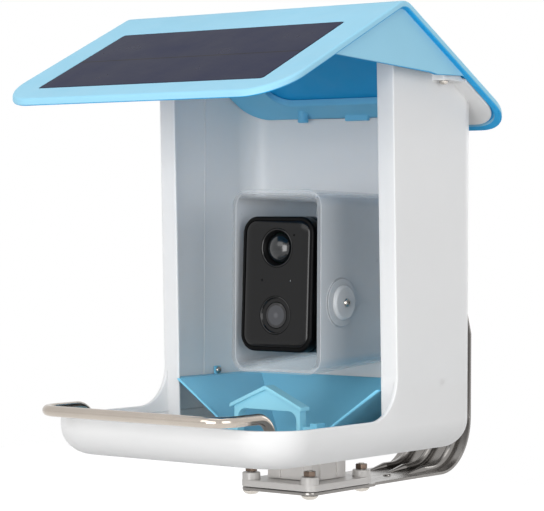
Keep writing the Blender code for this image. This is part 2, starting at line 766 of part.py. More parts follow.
def cradle(u0, u1, low, radius, upper):
    """An outline open to every side but for two round lower corners; upper closes it over the top.

    Each arc's end chords run on past the faces that they meet, so that every crossing is a clean one.
    """
    def arc(center, sign):
        turns = [math.pi / 2 * i / ARC_STEPS for i in range(ARC_STEPS + 1)]
        points = [Vector((center + sign * radius * math.sin(t), low + radius * (1 - math.cos(t)))) for t in turns]
        first = points[0] * 2 - points[1]
        last = points[-1] * 2 - points[-2]
        outer = Vector((last.x + sign * OVERRUN, last.y))
        return [Vector((first.x, low - OVERRUN)), first, *points[1:-1], last, outer]

    right, left = arc(u1 - radius, 1), arc(u0 + radius, -1)
    return [tuple(p) for p in right] + upper + [tuple(p) for p in left[::-1]]


def house_block(name, inset, open_top, cutter=False):
    """The housing's outer form, or that form moved in by the wall, as three extrusions in common."""
    low = BASE_Z + inset
    radius = BASE_RADIUS - inset
    top = APEX_Z + OVERRUN
    block = extruded(name, "Z", low, top, house_plan(inset), cutter=cutter)
    behind, before = REAR_Y - inset + OVERRUN, FRONT_Y + inset - OVERRUN
    roof = [(behind, rear_z(behind, SHEET + GAP)), (PANEL_HEAD_Y + inset, rear_z(PANEL_HEAD_Y, SHEET + GAP))]
    if open_top:
        roof = [(behind, top + OVERRUN), (PANEL_HEAD_Y + inset, top + OVERRUN)]
    rim = RIM_Z - inset
    front = rounded([roof[-1], (PANEL_FOOT_Y + inset, rim), (before, rim)], [0, FILLET + inset, 0])
    side = cradle(FRONT_Y + inset, REAR_Y - inset, low, radius, [roof[0], *front])
    common(block, extruded("house_side", "X", -HALF - OVERRUN, HALF + OVERRUN, side, cutter=True))
    wide = HALF + 2 * OVERRUN
    across = cradle(-HALF + inset, HALF - inset, low, radius, [(wide, top + OVERRUN), (-wide, top + OVERRUN)])
    common(block, extruded("house_front", "Y", before - OVERRUN, behind + OVERRUN, across, cutter=True))
    return block


def make_house():
    house = house_block("housing_shell", 0, False)
    below = SHEET + GAP
    soffit = slope_plate("soffit", 1, HALF + OVERRUN, 0, REAR_LENGTH, below + GAP, below + SOFFIT_THICK, cutter=True)
    radii = [0, 0, SOFFIT_RADIUS, SOFFIT_RADIUS]
    outline = rectangle(-SOFFIT_HALF, SOFFIT_HALF, SOFFIT_FRONT_Y, SOFFIT_REAR_Y, radii)
    common(soffit, extruded("soffit_plan", "Z", 0, APEX_Z, outline, cutter=True))
    join(house, soffit)
    lower = below + 2 * GAP
    crest = APEX_Y + (APEX_Z - lower / math.cos(REAR_SLOPE) - TAB_TOP_Z) / math.tan(REAR_SLOPE)
    tab = [(TAB_FRONT_Y, TAB_FOOT_Z), (TAB_REAR_Y, TAB_FOOT_Z), (TAB_REAR_Y, rear_z(TAB_REAR_Y, lower)),
           (crest, TAB_TOP_Z), (TAB_FRONT_Y, TAB_TOP_Z)]
    for side in (-1, 1):
        faces = sorted((side * (HALF - WALL / 2), side * (HALF + TAB_OUT)))
        join(house, extruded("side_tab", "X", *faces, tab, cutter=True))
        place = (side * ROOF_SCREW_X, ROOF_SCREW_Y, TAB_FOOT_Z - OVERRUN)
        cut(house, rod("tab_hole", place, "Z", SCREW_SHANK + GAP, 2 * OVERRUN, SMALL_STEPS, cutter=True))
    cut(house, house_block("house_cavity", WALL, True, cutter=True))

    wide, narrow = HALF - RIM_FLANGE, HALF - FLANGE
    low, top = RIM_Z - WALL - WALL / 2, APEX_Z + OVERRUN
    turn = RIM_Z + FILLET
    past = wide + GAP
    outline = [(-past, low), (past, low), (past, RIM_Z), (narrow, turn), (narrow, top), (-narrow, top),
               (-narrow, turn), (-past, RIM_Z)]
    opening = extruded("opening", "Y", FRONT_Y, RAMP_CHUTE_BACK_Y + OVERRUN, outline, cutter=True)
    corner = FRONT_RADIUS - RIM_FLANGE
    plan = rectangle(-wide, wide, FRONT_Y + RIM_FLANGE, RAMP_CHUTE_BACK_Y, [corner, corner, 0, 0])
    common(opening, extruded("opening_plan", "Z", low - OVERRUN, top + OVERRUN, plan, cutter=True))
    cut(house, opening)

    for _, place, axis in [*sleeve_screw_places(), *ramp_screw_places()]:
        cut(house, rod("wall_hole", place - axis * OVERRUN, axis, SCREW_SHANK + GAP,
                       OVERRUN + WALL * BLIND_SHARE, SMALL_STEPS, cutter=True))
    cut(house, sink("floor_hole", (0, BLOCK_Y, FLOOR_Z), "-Z", CENTER_BOLT, OVERRUN, CENTER_HEAD, CENTER_HEAD_Z))
    for side in (-1, 1):
        cut(house, sink("perch_hole", (side * PERCH_HALF, PERCH_LEG_Y, BASE_Z), "Z", SCREW_SHANK, OVERRUN,
                        SCREW_HEAD, SCREW_HEAD_Z))
    place = (GROMMET_X, BACK_Y - OVERRUN, GROMMET_Z)
    cut(house, rod("grommet_hole", place, "Y", GROMMET_NECK + GAP, 2 * OVERRUN, cutter=True))
    house.modifiers.new("weld", "WELD").merge_threshold = 2 * WELD
    dress(house, WHITE, 0.35)


def ramp_run():
    """How far the funnel's wings run sideways for each metre that they rise."""
    return (RAMP_MOUTH_HALF - RAMP_CHUTE_HALF) / (RAMP_TOP_Z - RAMP_CHUTE_Z)


def ramp_screw_places():
    """Where each screw of the funnel meets the inner side of a wall, and the way it points."""
    for name, side in SIDES:
        yield name, Vector((side * INNER_HALF, RAMP_SCREW_Y, RAMP_SCREW_Z)), Vector((side, 0, 0))


def make_ramp():
    run = ramp_run()
    back_run = (BACK_Y - RAMP_BACK_LEDGE - RAMP_CHUTE_BACK_Y) / (RAMP_TOP_Z - RAMP_CHUTE_Z)
    wide = RAMP_THICK * math.hypot(1, run)
    deep = RAMP_THICK * math.hypot(1, back_run)
    foot = RAMP_CHUTE_Z - RAMP_THICK

    def rectangle_at(z, side_grow, back_grow, front):
        half = RAMP_CHUTE_HALF + run * (z - RAMP_CHUTE_Z) + side_grow
        return -half, half, front, RAMP_CHUTE_BACK_Y + back_run * (z - RAMP_CHUTE_Z) + back_grow

    head, edge = RAMP_TOP_Z - RAMP_THICK / 2, RAMP_FRONT_Y + GAP
    ramp = tapered("seed_ramp", rectangle_at(foot, wide, deep, edge), rectangle_at(head, wide, deep, edge), foot,
                   head)
    half, rear = INNER_HALF - GAP, BACK_Y - GAP
    corner = REAR_RADIUS - WALL
    plan = rectangle(-half, half, RAMP_LEDGE_FRONT_Y, rear, [0, 0, corner, corner])
    join(ramp, extruded("ramp_ledge", "Z", RAMP_TOP_Z - RAMP_THICK, RAMP_TOP_Z, plan, cutter=True))
    high = RAMP_TOP_Z + OVERRUN
    front = RAMP_FRONT_Y - OVERRUN
    cut(ramp, tapered("ramp_hollow", rectangle_at(RAMP_CHUTE_Z, 0, 0, front), rectangle_at(high, 0, 0, front),
                      RAMP_CHUTE_Z, high, cutter=True))
    rise = RAMP_LIP_RISE * math.hypot(1, run)
    slot = GATE_TONGUE_THICK / 2 + SLIDE
    middle = RAMP_FRONT_Y - GUIDE_DEPTH / 2
    inner = GATE_HALF + GATE_TONGUE - SLIDE - GATE_GRIP
    for side in (-1, 1):
        down = foot + RAMP_THICK / 2
        lip = [(side * (RAMP_MOUTH_HALF + wide / 2), RAMP_TOP_Z), (side * (RAMP_CHUTE_HALF + wide / 2), down),
               (side * (RAMP_CHUTE_HALF - rise), down), (side * (RAMP_MOUTH_HALF - rise), RAMP_TOP_Z)]
        join(ramp, extruded("ramp_lip", "Y", RAMP_FRONT_Y, RAMP_FRONT_Y + RAMP_LIP, lip, cutter=True))
        xs = sorted((side * inner, side * (inner + GUIDE_WIDTH)))
        post = box("gate_guide", (xs[0], RAMP_FRONT_Y - GUIDE_DEPTH, foot),
                   (xs[1], RAMP_FRONT_Y + RAMP_LIP / 2, GUIDE_TOP_Z), cutter=True)
        join(ramp, post)
        xs = sorted((side * (inner - OVERRUN), side * (GATE_HALF + GATE_TONGUE + SLIDE)))
        cut(ramp, box("guide_slot", (xs[0], middle - slot, foot - OVERRUN),
                      (xs[1], middle + slot, GUIDE_TOP_Z + OVERRUN), cutter=True))
        xs = sorted((side * (half - GAP - RAMP_TAB), side * (half - GAP)))
        tab = box("ramp_tab", (xs[0], RAMP_SCREW_Y - RAMP_TAB_HALF, RAMP_TOP_Z - RAMP_THICK / 2),
                  (xs[1], RAMP_SCREW_Y + RAMP_TAB_HALF, RAMP_TOP_Z + RAMP_TAB_RISE), cutter=True)
        join(ramp, tab)
    for name, place, axis in ramp_screw_places():
        cut(ramp, rod("ramp_hole", place - axis * OVERRUN, axis, SCREW_SHANK + GAP, 2 * OVERRUN, SMALL_STEPS,
                      cutter=True))
        start = place - axis * (RAMP_TAB + 3 * GAP)
        reach = RAMP_TAB + 2 * GAP + WALL * BLIND_SHARE
        dress(screw("ramp_screw_" + name, start, axis, SCREW_SHANK, reach, RAMP_SCREW_HEAD, RAMP_SCREW_RISE),
              STEEL, 0.3, 1.0)
    dress(ramp, SKY, 0.4)


def make_gate():
    foot = FLOOR_Z + GAP
    middle = RAMP_FRONT_Y - GUIDE_DEPTH / 2
    front, rear = middle - GATE_DEPTH / 2, middle + GATE_DEPTH / 2
    slope = (GATE_APEX_Z - GATE_EAVE_Z) / GATE_EAVE_HALF
    wall_top = GATE_EAVE_Z + slope * (GATE_EAVE_HALF - GATE_HALF) - GATE_ROOF_THICK / 2
    body = [(-GATE_HALF, foot), (GATE_HALF, foot), (GATE_HALF, wall_top), (0, GATE_APEX_Z - GATE_ROOF_THICK / 2),
            (-GATE_HALF, wall_top)]
    gate = extruded("house_gate", "Y", front, rear - GAP, body)
    drop = GATE_ROOF_THICK * math.hypot(1, slope)
    top = [(-GATE_EAVE_HALF, GATE_EAVE_Z), (0, GATE_APEX_Z), (GATE_EAVE_HALF, GATE_EAVE_Z),
           (GATE_EAVE_HALF, GATE_EAVE_Z - drop), (0, GATE_APEX_Z - drop), (-GATE_EAVE_HALF, GATE_EAVE_Z - drop)]
    join(gate, extruded("gate_roof", "Y", rear - GATE_ROOF_DEPTH, rear, top, cutter=True))
    thick = GATE_TONGUE_THICK / 2
    reach = GATE_HALF + GATE_TONGUE
    tongue = box("gate_tongue", (-reach, middle - thick, foot + GAP), (reach, middle + thick, GATE_TONGUE_Z), cutter=True)
    join(gate, tongue)
    arch = rectangle(-GATE_ARCH_HALF, GATE_ARCH_HALF, foot - OVERRUN, GATE_ARCH_Z,
                     [0, 0, GATE_ARCH_RADIUS, GATE_ARCH_RADIUS])
    cut(gate, extruded("gate_arch", "Y", front - OVERRUN, rear + OVERRUN, arch, cutter=True))
    dress(gate, SKY, 0.4)


def bent_line(points, bend, steps=ARC_STEPS):
    """A line of points in space with its corners turned into arcs."""
    points = [Vector(p) for p in points]
    done = [points[0]]
    for before, here, after in zip(points, points[1:], points[2:]):
        back, on = (before - here).normalized(), (after - here).normalized()
        half = back.angle(on) / 2
        middle = here + (back + on).normalized() * bend / math.sin(half)
        start = (here + back * bend / math.tan(half) - middle).normalized()
        across = (-back - start * (-back).dot(start)).normalized()
        sweep = math.pi - 2 * half
        for step in range(steps + 1):
            turn = sweep * step / steps
            done.append(middle + (start * math.cos(turn) + across * math.sin(turn)) * bend)
    return [*done, points[-1]]


def make_perch():
    foot = FLOOR_Z + GAP
    right = [(PERCH_HALF, PERCH_LEG_Y, foot), (PERCH_HALF, PERCH_LEG_Y, PERCH_Z), (PERCH_HALF, PERCH_BAR_Y, PERCH_Z)]
    left = [(-x, y, z) for x, y, z in right[::-1]]
    bar = tube("perch_bar", bent_line(right + left, PERCH_BEND), PERCH_RADIUS)
    for name, side in SIDES:
        place = Vector((side * PERCH_HALF, PERCH_LEG_Y, foot))
        cut(bar, rod("perch_bore", place - Vector((0, 0, OVERRUN)), "Z", PERCH_BORE, OVERRUN + PERCH_BORE_DEPTH,
                     SMALL_STEPS, cutter=True))
        made = flat_screw("perch_screw_" + name, (place.x, place.y, BASE_Z + GAP), "Z", SCREW_SHANK,
                          WALL + PERCH_BORE_DEPTH - GAP, SCREW_HEAD, SCREW_HEAD_Z)
        dress(made, STEEL, 0.3, 1.0)
    dress(bar, STEEL, 0.25, 1.0)


def sleeve_block(name, inset, front, rear, cutter=False):
    """A rounded tunnel form whose foot rises and whose head drops a little towards the rear."""
    half, low, high = SLEEVE_HALF - inset, SLEEVE_FOOT_Z + inset, SLEEVE_HEAD_Z - inset
    radius = max(SLEEVE_RADIUS - inset, SLEEVE_WALL)
    made = extruded(name, "Y", front, rear, rectangle(-half, half, low, high, radius), cutter=cutter)
    for vertex in made.data.vertices:
        back = (vertex.co.y - SLEEVE_FRONT_Y) / (BACK_Y - SLEEVE_FRONT_Y)
        up = (vertex.co.z - SLEEVE_FOOT_Z) / (SLEEVE_HEAD_Z - SLEEVE_FOOT_Z)
        vertex.co.z += back * (SLEEVE_FOOT_RISE * (1 - up) - SLEEVE_HEAD_DROP * up)
    return made


def sleeve_screw_places():
    """Where each screw of the sleeve meets the inner side of the back wall, and the way it points."""
    middle = (SLEEVE_FOOT_Z + SLEEVE_HEAD_Z) / 2
    across = SLEEVE_HALF - SLEEVE_WALL - SLEEVE_FLANGE / 2
    for name, side in SIDES:
        yield name, Vector((side * across, BACK_Y, middle)), Vector((0, 1, 0))


def make_sleeve():
    rear = BACK_Y - GAP
    sleeve = sleeve_block("camera_sleeve", 0, SLEEVE_FRONT_Y, rear)
    pad = circle(PIVOT_Y, PIVOT_Z, PIVOT_PAD_RADIUS, ROUND_STEPS)
    for side in (-1, 1):
        faces = sorted((side * (SLEEVE_HALF - SLEEVE_WALL / 2), side * (SLEEVE_HALF + PIVOT_PAD)))
        join(sleeve, extruded("pivot_pad", "X", *faces, pad, cutter=True))
    cut(sleeve, sleeve_block("sleeve_hollow", SLEEVE_WALL, SLEEVE_FRONT_Y - OVERRUN, rear - SLEEVE_WALL, cutter=True))
    cut(sleeve, sleeve_block("sleeve_back", SLEEVE_WALL + SLEEVE_FLANGE, rear - OVERRUN, rear + OVERRUN,
                             cutter=True))
    bore = PIVOT_SHANK + SLIDE
    cut(sleeve, rod("pivot_hole", (-HALF, PIVOT_Y, PIVOT_Z), "X", bore, HOUSE_WIDTH, SMALL_STEPS, cutter=True))
    for name, place, axis in sleeve_screw_places():
        cut(sleeve, rod("sleeve_hole", place - axis * OVERRUN, axis, SCREW_SHANK + GAP, 2 * OVERRUN, SMALL_STEPS,
                        cutter=True))
        start = place - axis * (GAP + SLEEVE_WALL + GAP)
        reach = GAP + SLEEVE_WALL + WALL * BLIND_SHARE
        dress(screw("sleeve_screw_" + name, start, axis, SCREW_SHANK, reach, SCREW_HEAD, SCREW_HEAD_Z),
              STEEL, 0.3, 1.0)
    dress(sleeve, CLEAR, 0.15, see_through=0.8)


def make_pivots():
    """Returns what turns with the camera: the spacers and the screws. The caps stay with the sleeve."""
    turning = []
    bore = PIVOT_SHANK + SLIDE
    inside = SLEEVE_HALF - SLEEVE_WALL - GAP
    face = SLEEVE_HALF + PIVOT_PAD + GAP
    near = CAMERA_HALF + GAP
    rim = [(bore, PIVOT_CAP), (PIVOT_CAP_RADIUS - PIVOT_CAP / 2, PIVOT_CAP), (PIVOT_CAP_RADIUS, PIVOT_CAP / 2),
           (PIVOT_CAP_RADIUS, 0), (bore, 0)]
    for name, side in SIDES:
        axis = Vector((side, 0, 0))
        spacer = ring("pivot_spacer_" + name, (side * near, PIVOT_Y, PIVOT_Z), axis, bore, PIVOT_SPACER_RADIUS,
                      inside - near)
        cap = turned("pivot_cap_" + name, (side * face, PIVOT_Y, PIVOT_Z), axis, rim)
        start = face + PIVOT_CAP + GAP
        pin = screw("pivot_screw_" + name, (side * start, PIVOT_Y, PIVOT_Z), -axis, PIVOT_SHANK,
                    start - PIVOT_SCREW_END_X, PIVOT_HEAD, SCREW_HEAD_Z)
        dress(spacer, CLEAR, 0.15, see_through=0.8)
        dress(cap, CLEAR, 0.15, see_through=0.8)
        dress(pin, STEEL, 0.3, 1.0)
        turning += [spacer, pin]
    return turning


def case_outline(inset, steps=ARC_STEPS):
    half = CAMERA_HALF - inset
    radius = max(CAMERA_RADIUS - inset, CASE_WALL)
    return rectangle(-half, half, CAMERA_FOOT_Z + inset, CAMERA_HEAD_Z - inset, radius, steps)


def case_block(name, inset, front, rear, cutter=False):
    return extruded(name, "Y", front, rear, case_outline(inset), cutter=cutter)


def soften(made, width):
    """Rounds the square edges of an extruded form."""
    step = made.modifiers.new("soften", "BEVEL")
    step.width = width
    step.segments = 2
    step.limit_method = "ANGLE"
    step.angle_limit = math.radians(60)
    return made


def case_screw_places():
    across = CAMERA_HALF - CASE_SCREW_INSET
    yield "low", -across, CAMERA_FOOT_Z + CASE_SCREW_INSET
    yield "high", across, CAMERA_HEAD_Z - CASE_SCREW_INSET


def make_case():
    """The camera's two shells, the seal between them and the screws that close them."""
    front = CAMERA_FRONT_Y + FACE_THICK / 2
    seam = CASE_SEAM_Y
    shell = soften(case_block("camera_front_case", 0, front, seam), CASE_EDGE)
    cut(shell, case_block("face_seat", FACE_BORDER, front - OVERRUN, CAMERA_FRONT_Y + FACE_THICK + GAP, cutter=True))
    wall_end = CAMERA_FRONT_Y + FACE_THICK + GAP + CASE_WALL
    cut(shell, case_block("front_hollow", CASE_WALL, wall_end, seam + OVERRUN, cutter=True))
    rear = soften(case_block("camera_rear_case", 0, seam + GASKET_THICK + 2 * GAP, CAMERA_REAR_Y), CASE_EDGE)
    cut(rear, case_block("rear_hollow", CASE_WALL, seam - OVERRUN, CAMERA_REAR_Y - CASE_WALL, cutter=True))
    gasket = extruded("case_gasket", "Y", seam + GAP, seam + GAP + GASKET_THICK, case_outline(CASE_EDGE / 2),
                      case_outline(CASE_WALL))
    for name, z, radius in (("pir_hole", PIR_Z, PIR_RING), ("lens_hole", LENS_Z, LENS_RING)):
        cut(shell, rod(name, (0, CAMERA_FRONT_Y - OVERRUN, z), "Y", radius, 2 * OVERRUN, cutter=True))
    for x, z in ((-LED_X, LED_Z), (LED_X, LED_Z), (MIC_X, MIC_Z)):
        place = (x, CAMERA_FRONT_Y - OVERRUN, z)
        cut(shell, rod("pin_hole", place, "Y", LED_RADIUS + GAP, 2 * OVERRUN, SMALL_STEPS, cutter=True))
    boss_front = CAMERA_FRONT_Y + BOARD_SET_BACK + BOARD_THICK + GAP
    made = [shell, rear, gasket]
    for _, x, z in case_screw_places():
        join(rear, rod("case_boss", (x, boss_front, z), "Y", CASE_BOSS, CAMERA_REAR_Y - CASE_WALL / 2 - boss_front,
                       SMALL_STEPS, cutter=True))
    for name, x, z in case_screw_places():
        cut(rear, sink("case_bore", (x, CAMERA_REAR_Y, z), "-Y", CASE_SCREW, CASE_SCREW_LENGTH, CASE_SCREW_HEAD,
                       CASE_WALL))
        pin = flat_screw("case_screw_" + name, (x, CAMERA_REAR_Y - GAP, z), "-Y", CASE_SCREW,
                         CASE_SCREW_LENGTH - 2 * GAP, CASE_SCREW_HEAD, CASE_WALL)
        made.append(dress(pin, STEEL, 0.3, 1.0))
    for side in (-1, 1):
        place = (side * (CAMERA_HALF - CASE_WALL - GAP * 2), PIVOT_Y, PIVOT_Z)
        cut(rear, rod("pivot_bore", place, Vector((side, 0, 0)), PIVOT_SHANK + GAP, OVERRUN, SMALL_STEPS, cutter=True))
    place = (0, BUTTON_Y, CAMERA_HEAD_Z - OVERRUN / 2)
    cut(rear, rod("button_hole", place, "Z", BUTTON_RADIUS + GAP, OVERRUN, cutter=True))
    middle = PORT_FOOT_Z + PORT_HEIGHT / 2
    across, half = USB_MOUTH + GAP, USB_HEIGHT / 2 - USB_SLOT + GAP
    window = box("port_window", (-across, CAMERA_REAR_Y - OVERRUN / 2, middle - half),
                 (across, CAMERA_REAR_Y + OVERRUN, middle + half), cutter=True)
    cut(rear, window)
    dress(shell, BLACK, 0.3)
    dress(rear, BLACK, 0.4)
    dress(gasket, RUBBER, 0.8)
    return made


def dish(name, z, outer, throat):
    """The sloping ring that sinks from the face to an optic."""
    deep = DISH_DEPTH + FACE_THICK / 2
    rim = [(outer, 0), (outer, deep), (throat, deep), (throat, DISH_DEPTH), (outer - FACE_THICK / 2, 0)]
    return dress(turned(name, (0, CAMERA_FRONT_Y, z), "Y", rim), BLACK, 0.15)


def make_optics():
    face = extruded("camera_faceplate", "Y", CAMERA_FRONT_Y, CAMERA_FRONT_Y + FACE_THICK, case_outline(FACE_BORDER + GAP),
                    circle(0, PIR_Z, PIR_RING), circle(0, LENS_Z, LENS_RING),
                    *(circle(x, z, LED_RADIUS + GAP, SMALL_STEPS) for x, z in ((-LED_X, LED_Z), (LED_X, LED_Z),
                                                                              (MIC_X, MIC_Z))))
    dress(face, BLACK, 0.1)
    made = [face, dish("pir_ring", PIR_Z, PIR_RING - GAP, PIR_DOME + GAP),
            dish("lens_ring", LENS_Z, LENS_RING - GAP, LENS_GLASS + GAP)]
    turns = [math.pi / 2 * (1 - i / ARC_STEPS) for i in range(ARC_STEPS + 1)]
    base, wall = DISH_DEPTH + FACE_THICK / 2, FACE_THICK / 2
    outer = [(PIR_DOME * math.cos(t), base - (base + PIR_PROUD) * math.sin(t)) for t in turns]
    inner = [((PIR_DOME - wall) * math.cos(t), base - (base + PIR_PROUD - wall) * math.sin(t)) for t in turns]
    outer[0], inner[0] = (0, -PIR_PROUD), (0, wall - PIR_PROUD)
    dome = turned("pir_dome", (0, CAMERA_FRONT_Y, PIR_Z), "Y", outer + inner[::-1])
    made.append(dress(dome, BLACK, 0.1, see_through=0.5))
    board_front = BOARD_SET_BACK
    start = base + GAP
    made.append(dress(rod("pir_sensor", (0, CAMERA_FRONT_Y + start, PIR_Z), "Y", PIR_DOME / 2,
                          board_front - start - GAP), STEEL, 0.3, 1.0))
    glass = DISH_DEPTH + LENS_THICK
    made.append(dress(rod("lens_glass", (0, CAMERA_FRONT_Y + DISH_DEPTH, LENS_Z), "Y", LENS_GLASS, LENS_THICK),
                      BLACK, 0.05))
    made.append(dress(rod("lens_barrel", (0, CAMERA_FRONT_Y + glass + GAP, LENS_Z), "Y", LENS_GLASS - FACE_THICK,
                          board_front - glass - 2 * GAP), BLACK, 0.5))
    light = rod("status_light", (LED_X, CAMERA_FRONT_Y + FACE_THICK / 2, LED_Z), "Y", LED_RADIUS,
                board_front - FACE_THICK / 2 - GAP, SMALL_STEPS)
    made.append(dress(light, WHITE, 0.2, see_through=0.5))
    return made


def make_insides():
    front = CAMERA_FRONT_Y + BOARD_SET_BACK
    board = case_block("circuit_board", BOARD_INSET, front, front + BOARD_THICK)
    dress(board, (0.02, 0.12, 0.05), 0.5)
    middle = (CAMERA_FOOT_Z + CAMERA_HEAD_Z) / 2
    y = front + BOARD_THICK + 2 * GAP + CELL_RADIUS
    across, depth = 2 * CELL_RADIUS, CELL_RADIUS
    outline = rectangle(-across, across, y - depth, y + depth, CELL_RADIUS - GAP)
    pack = extruded("battery_pack", "Z", middle - CELL_LENGTH / 2, middle + CELL_LENGTH / 2, outline)
    dress(pack, (0.02, 0.10, 0.35), 0.4)
    y += CELL_RADIUS + GAP
    speaker = rod("speaker", (0, y, middle), "Y", SPEAKER_RADIUS, SPEAKER_THICK)
    dress(speaker, BLACK, 0.6)
    inside = CAMERA_HEAD_Z - CASE_WALL
    button = turned("power_button", (0, BUTTON_Y, inside - GAP - BUTTON_TRAVEL - BUTTON_STEM), "Z",
                    [(0, CASE_WALL + BUTTON_STEM + GAP + BUTTON_TRAVEL + BUTTON_PROUD),
                     (BUTTON_RADIUS, CASE_WALL + BUTTON_STEM + GAP + BUTTON_TRAVEL + BUTTON_PROUD),
                     (BUTTON_RADIUS, BUTTON_STEM + BUTTON_TRAVEL),
                     (BUTTON_RADIUS + FACE_THICK, BUTTON_STEM + BUTTON_TRAVEL),
                     (BUTTON_RADIUS + FACE_THICK, BUTTON_STEM + BUTTON_TRAVEL - FACE_THICK),
                     (BUTTON_RADIUS / 2, BUTTON_STEM + BUTTON_TRAVEL - FACE_THICK), (BUTTON_RADIUS / 2, 0), (0, 0)])
    dress(button, BLACK, 0.4)
    rear = CAMERA_REAR_Y + GAP
    cover = extruded("port_cover", "Y", rear, rear + PORT_COVER_THICK,
                     rectangle(-PORT_HALF, PORT_HALF, PORT_FOOT_Z, PORT_FOOT_Z + PORT_HEIGHT, PORT_COVER_THICK))
    dress(cover, RUBBER, 0.8)
    middle = PORT_FOOT_Z + PORT_HEIGHT / 2
    back = CAMERA_REAR_Y - CASE_WALL - GAP
    high = USB_HEIGHT / 2
    socket = box("usb_socket", (-USB_HALF, back - USB_DEPTH, middle - high), (USB_HALF, back, middle + high))
    mouth = box("usb_mouth", (-USB_MOUTH, back - USB_DEPTH + USB_RIM, middle - high + USB_SLOT),
                (USB_MOUTH, back + OVERRUN, middle + high - USB_SLOT), cutter=True)
    cut(socket, mouth)
    dress(socket, STEEL, 0.3, 1.0)
    return [board, pack, speaker, button, cover, socket]


def bolt_places():
    for end, y in (("front", -BOLT_Y), ("rear", BOLT_Y)):
        for name, side in SIDES:
            yield end + "_" + name, side * BOLT_X, BLOCK_Y + y


def make_block():
    side, out, half = BLOCK_SIZE / 2 - BLOCK_RIB, BLOCK_SIZE / 2, BLOCK_RIB_WIDTH / 2
    high = BASE_Z - GAP
    low = high - BLOCK_HEIGHT
    block = box("mount_block", (-side, BLOCK_Y - side, low), (side, BLOCK_Y + side, high))
    for at in (-BLOCK_RIB_X, BLOCK_RIB_X):
        across = box("block_rib", (at - half, BLOCK_Y - out, low + GAP), (at + half, BLOCK_Y + out, high - GAP),
                     cutter=True)
        along = box("block_rib", (-out, BLOCK_Y + at - half, low + GAP), (out, BLOCK_Y + at + half, high - GAP),
                    cutter=True)
        join(block, across, along)
    cut(block, rod("block_bore", (0, BLOCK_Y, low - OVERRUN), "Z", CENTER_BOLT + GAP, 3 * OVERRUN, cutter=True))
    dress(block, (0.70, 0.69, 0.69), 0.3, see_through=0.3)
    foot = PLATE_TOP_Z - PLATE_THICK + GAP
    head = FLOOR_Z - GAP
    dress(flat_screw("center_bolt", (0, BLOCK_Y, head), "-Z", CENTER_BOLT, head - foot, CENTER_HEAD, CENTER_HEAD_Z),
          STEEL, 0.3, 1.0)
    nut = extruded("center_nut", "Z", foot, foot + CENTER_NUT_Z, circle(0, BLOCK_Y, CENTER_NUT, 6),
                   circle(0, BLOCK_Y, CENTER_BOLT + GAP, SMALL_STEPS))
    dress(nut, STEEL, 0.3, 1.0)


def make_plate():
    top, foot = PLATE_TOP_Z, PLATE_TOP_Z - PLATE_THICK
    outline = rectangle(-PLATE_X / 2, PLATE_X / 2, BLOCK_Y - PLATE_Y / 2, BLOCK_Y + PLATE_Y / 2, PLATE_RADIUS)
    plate = extruded("mount_plate", "Z", foot, top, outline)
    seat = top + BOSS_HEIGHT + GAP
    head = BRACKET_TOP_Z - BRACKET_THICK - GAP
    tip = seat + NUT_THICK + BOLT_RADIUS
    for _, x, y in bolt_places():
        join(plate, rod("bolt_boss", (x, y, foot + PLATE_THICK / 2), "Z", BOSS_RADIUS, PLATE_THICK / 2 + BOSS_HEIGHT,
                        cutter=True))
    for name, x, y in bolt_places():
        cut(plate, rod("bolt_hole", (x, y, foot - OVERRUN), "Z", BOLT_RADIUS + GAP, 2 * OVERRUN, SMALL_STEPS,
                       cutter=True))
        dress(screw("mount_bolt_" + name, (x, y, head), "Z", BOLT_RADIUS, tip - head, BOLT_HEAD, BOLT_HEAD_Z),
              STEEL, 0.25, 1.0)
        nut = extruded("mount_nut_" + name, "Z", seat, seat + NUT_THICK, circle(x, y, NUT_RADIUS, 6),
                       circle(x, y, BOLT_RADIUS + GAP, SMALL_STEPS))
        dress(nut, STEEL, 0.3, 1.0)
    cut(plate, rod("center_hole", (0, BLOCK_Y, foot - OVERRUN), "Z", CENTER_BOLT + GAP, 2 * OVERRUN, cutter=True))
    cut(plate, extruded("nut_pocket", "Z", foot - OVERRUN, foot + CENTER_NUT_Z + 2 * GAP,
                        circle(0, BLOCK_Y, CENTER_NUT + SLIDE, 6), cutter=True))
    dress(plate, (0.70, 0.69, 0.69), 0.35)


def bend_arc(radius):
    """The bracket's bend at one radius, from the arm to the wall, as (y, z) points."""
    y, z = -BRACKET_BEND, BRACKET_TOP_Z - BRACKET_THICK + BRACKET_BEND
    turns = [math.pi / 2 * i / (2 * ARC_STEPS) for i in range(2 * ARC_STEPS + 1)]
    return [(y + radius * math.sin(t), z - radius * math.cos(t)) for t in turns]


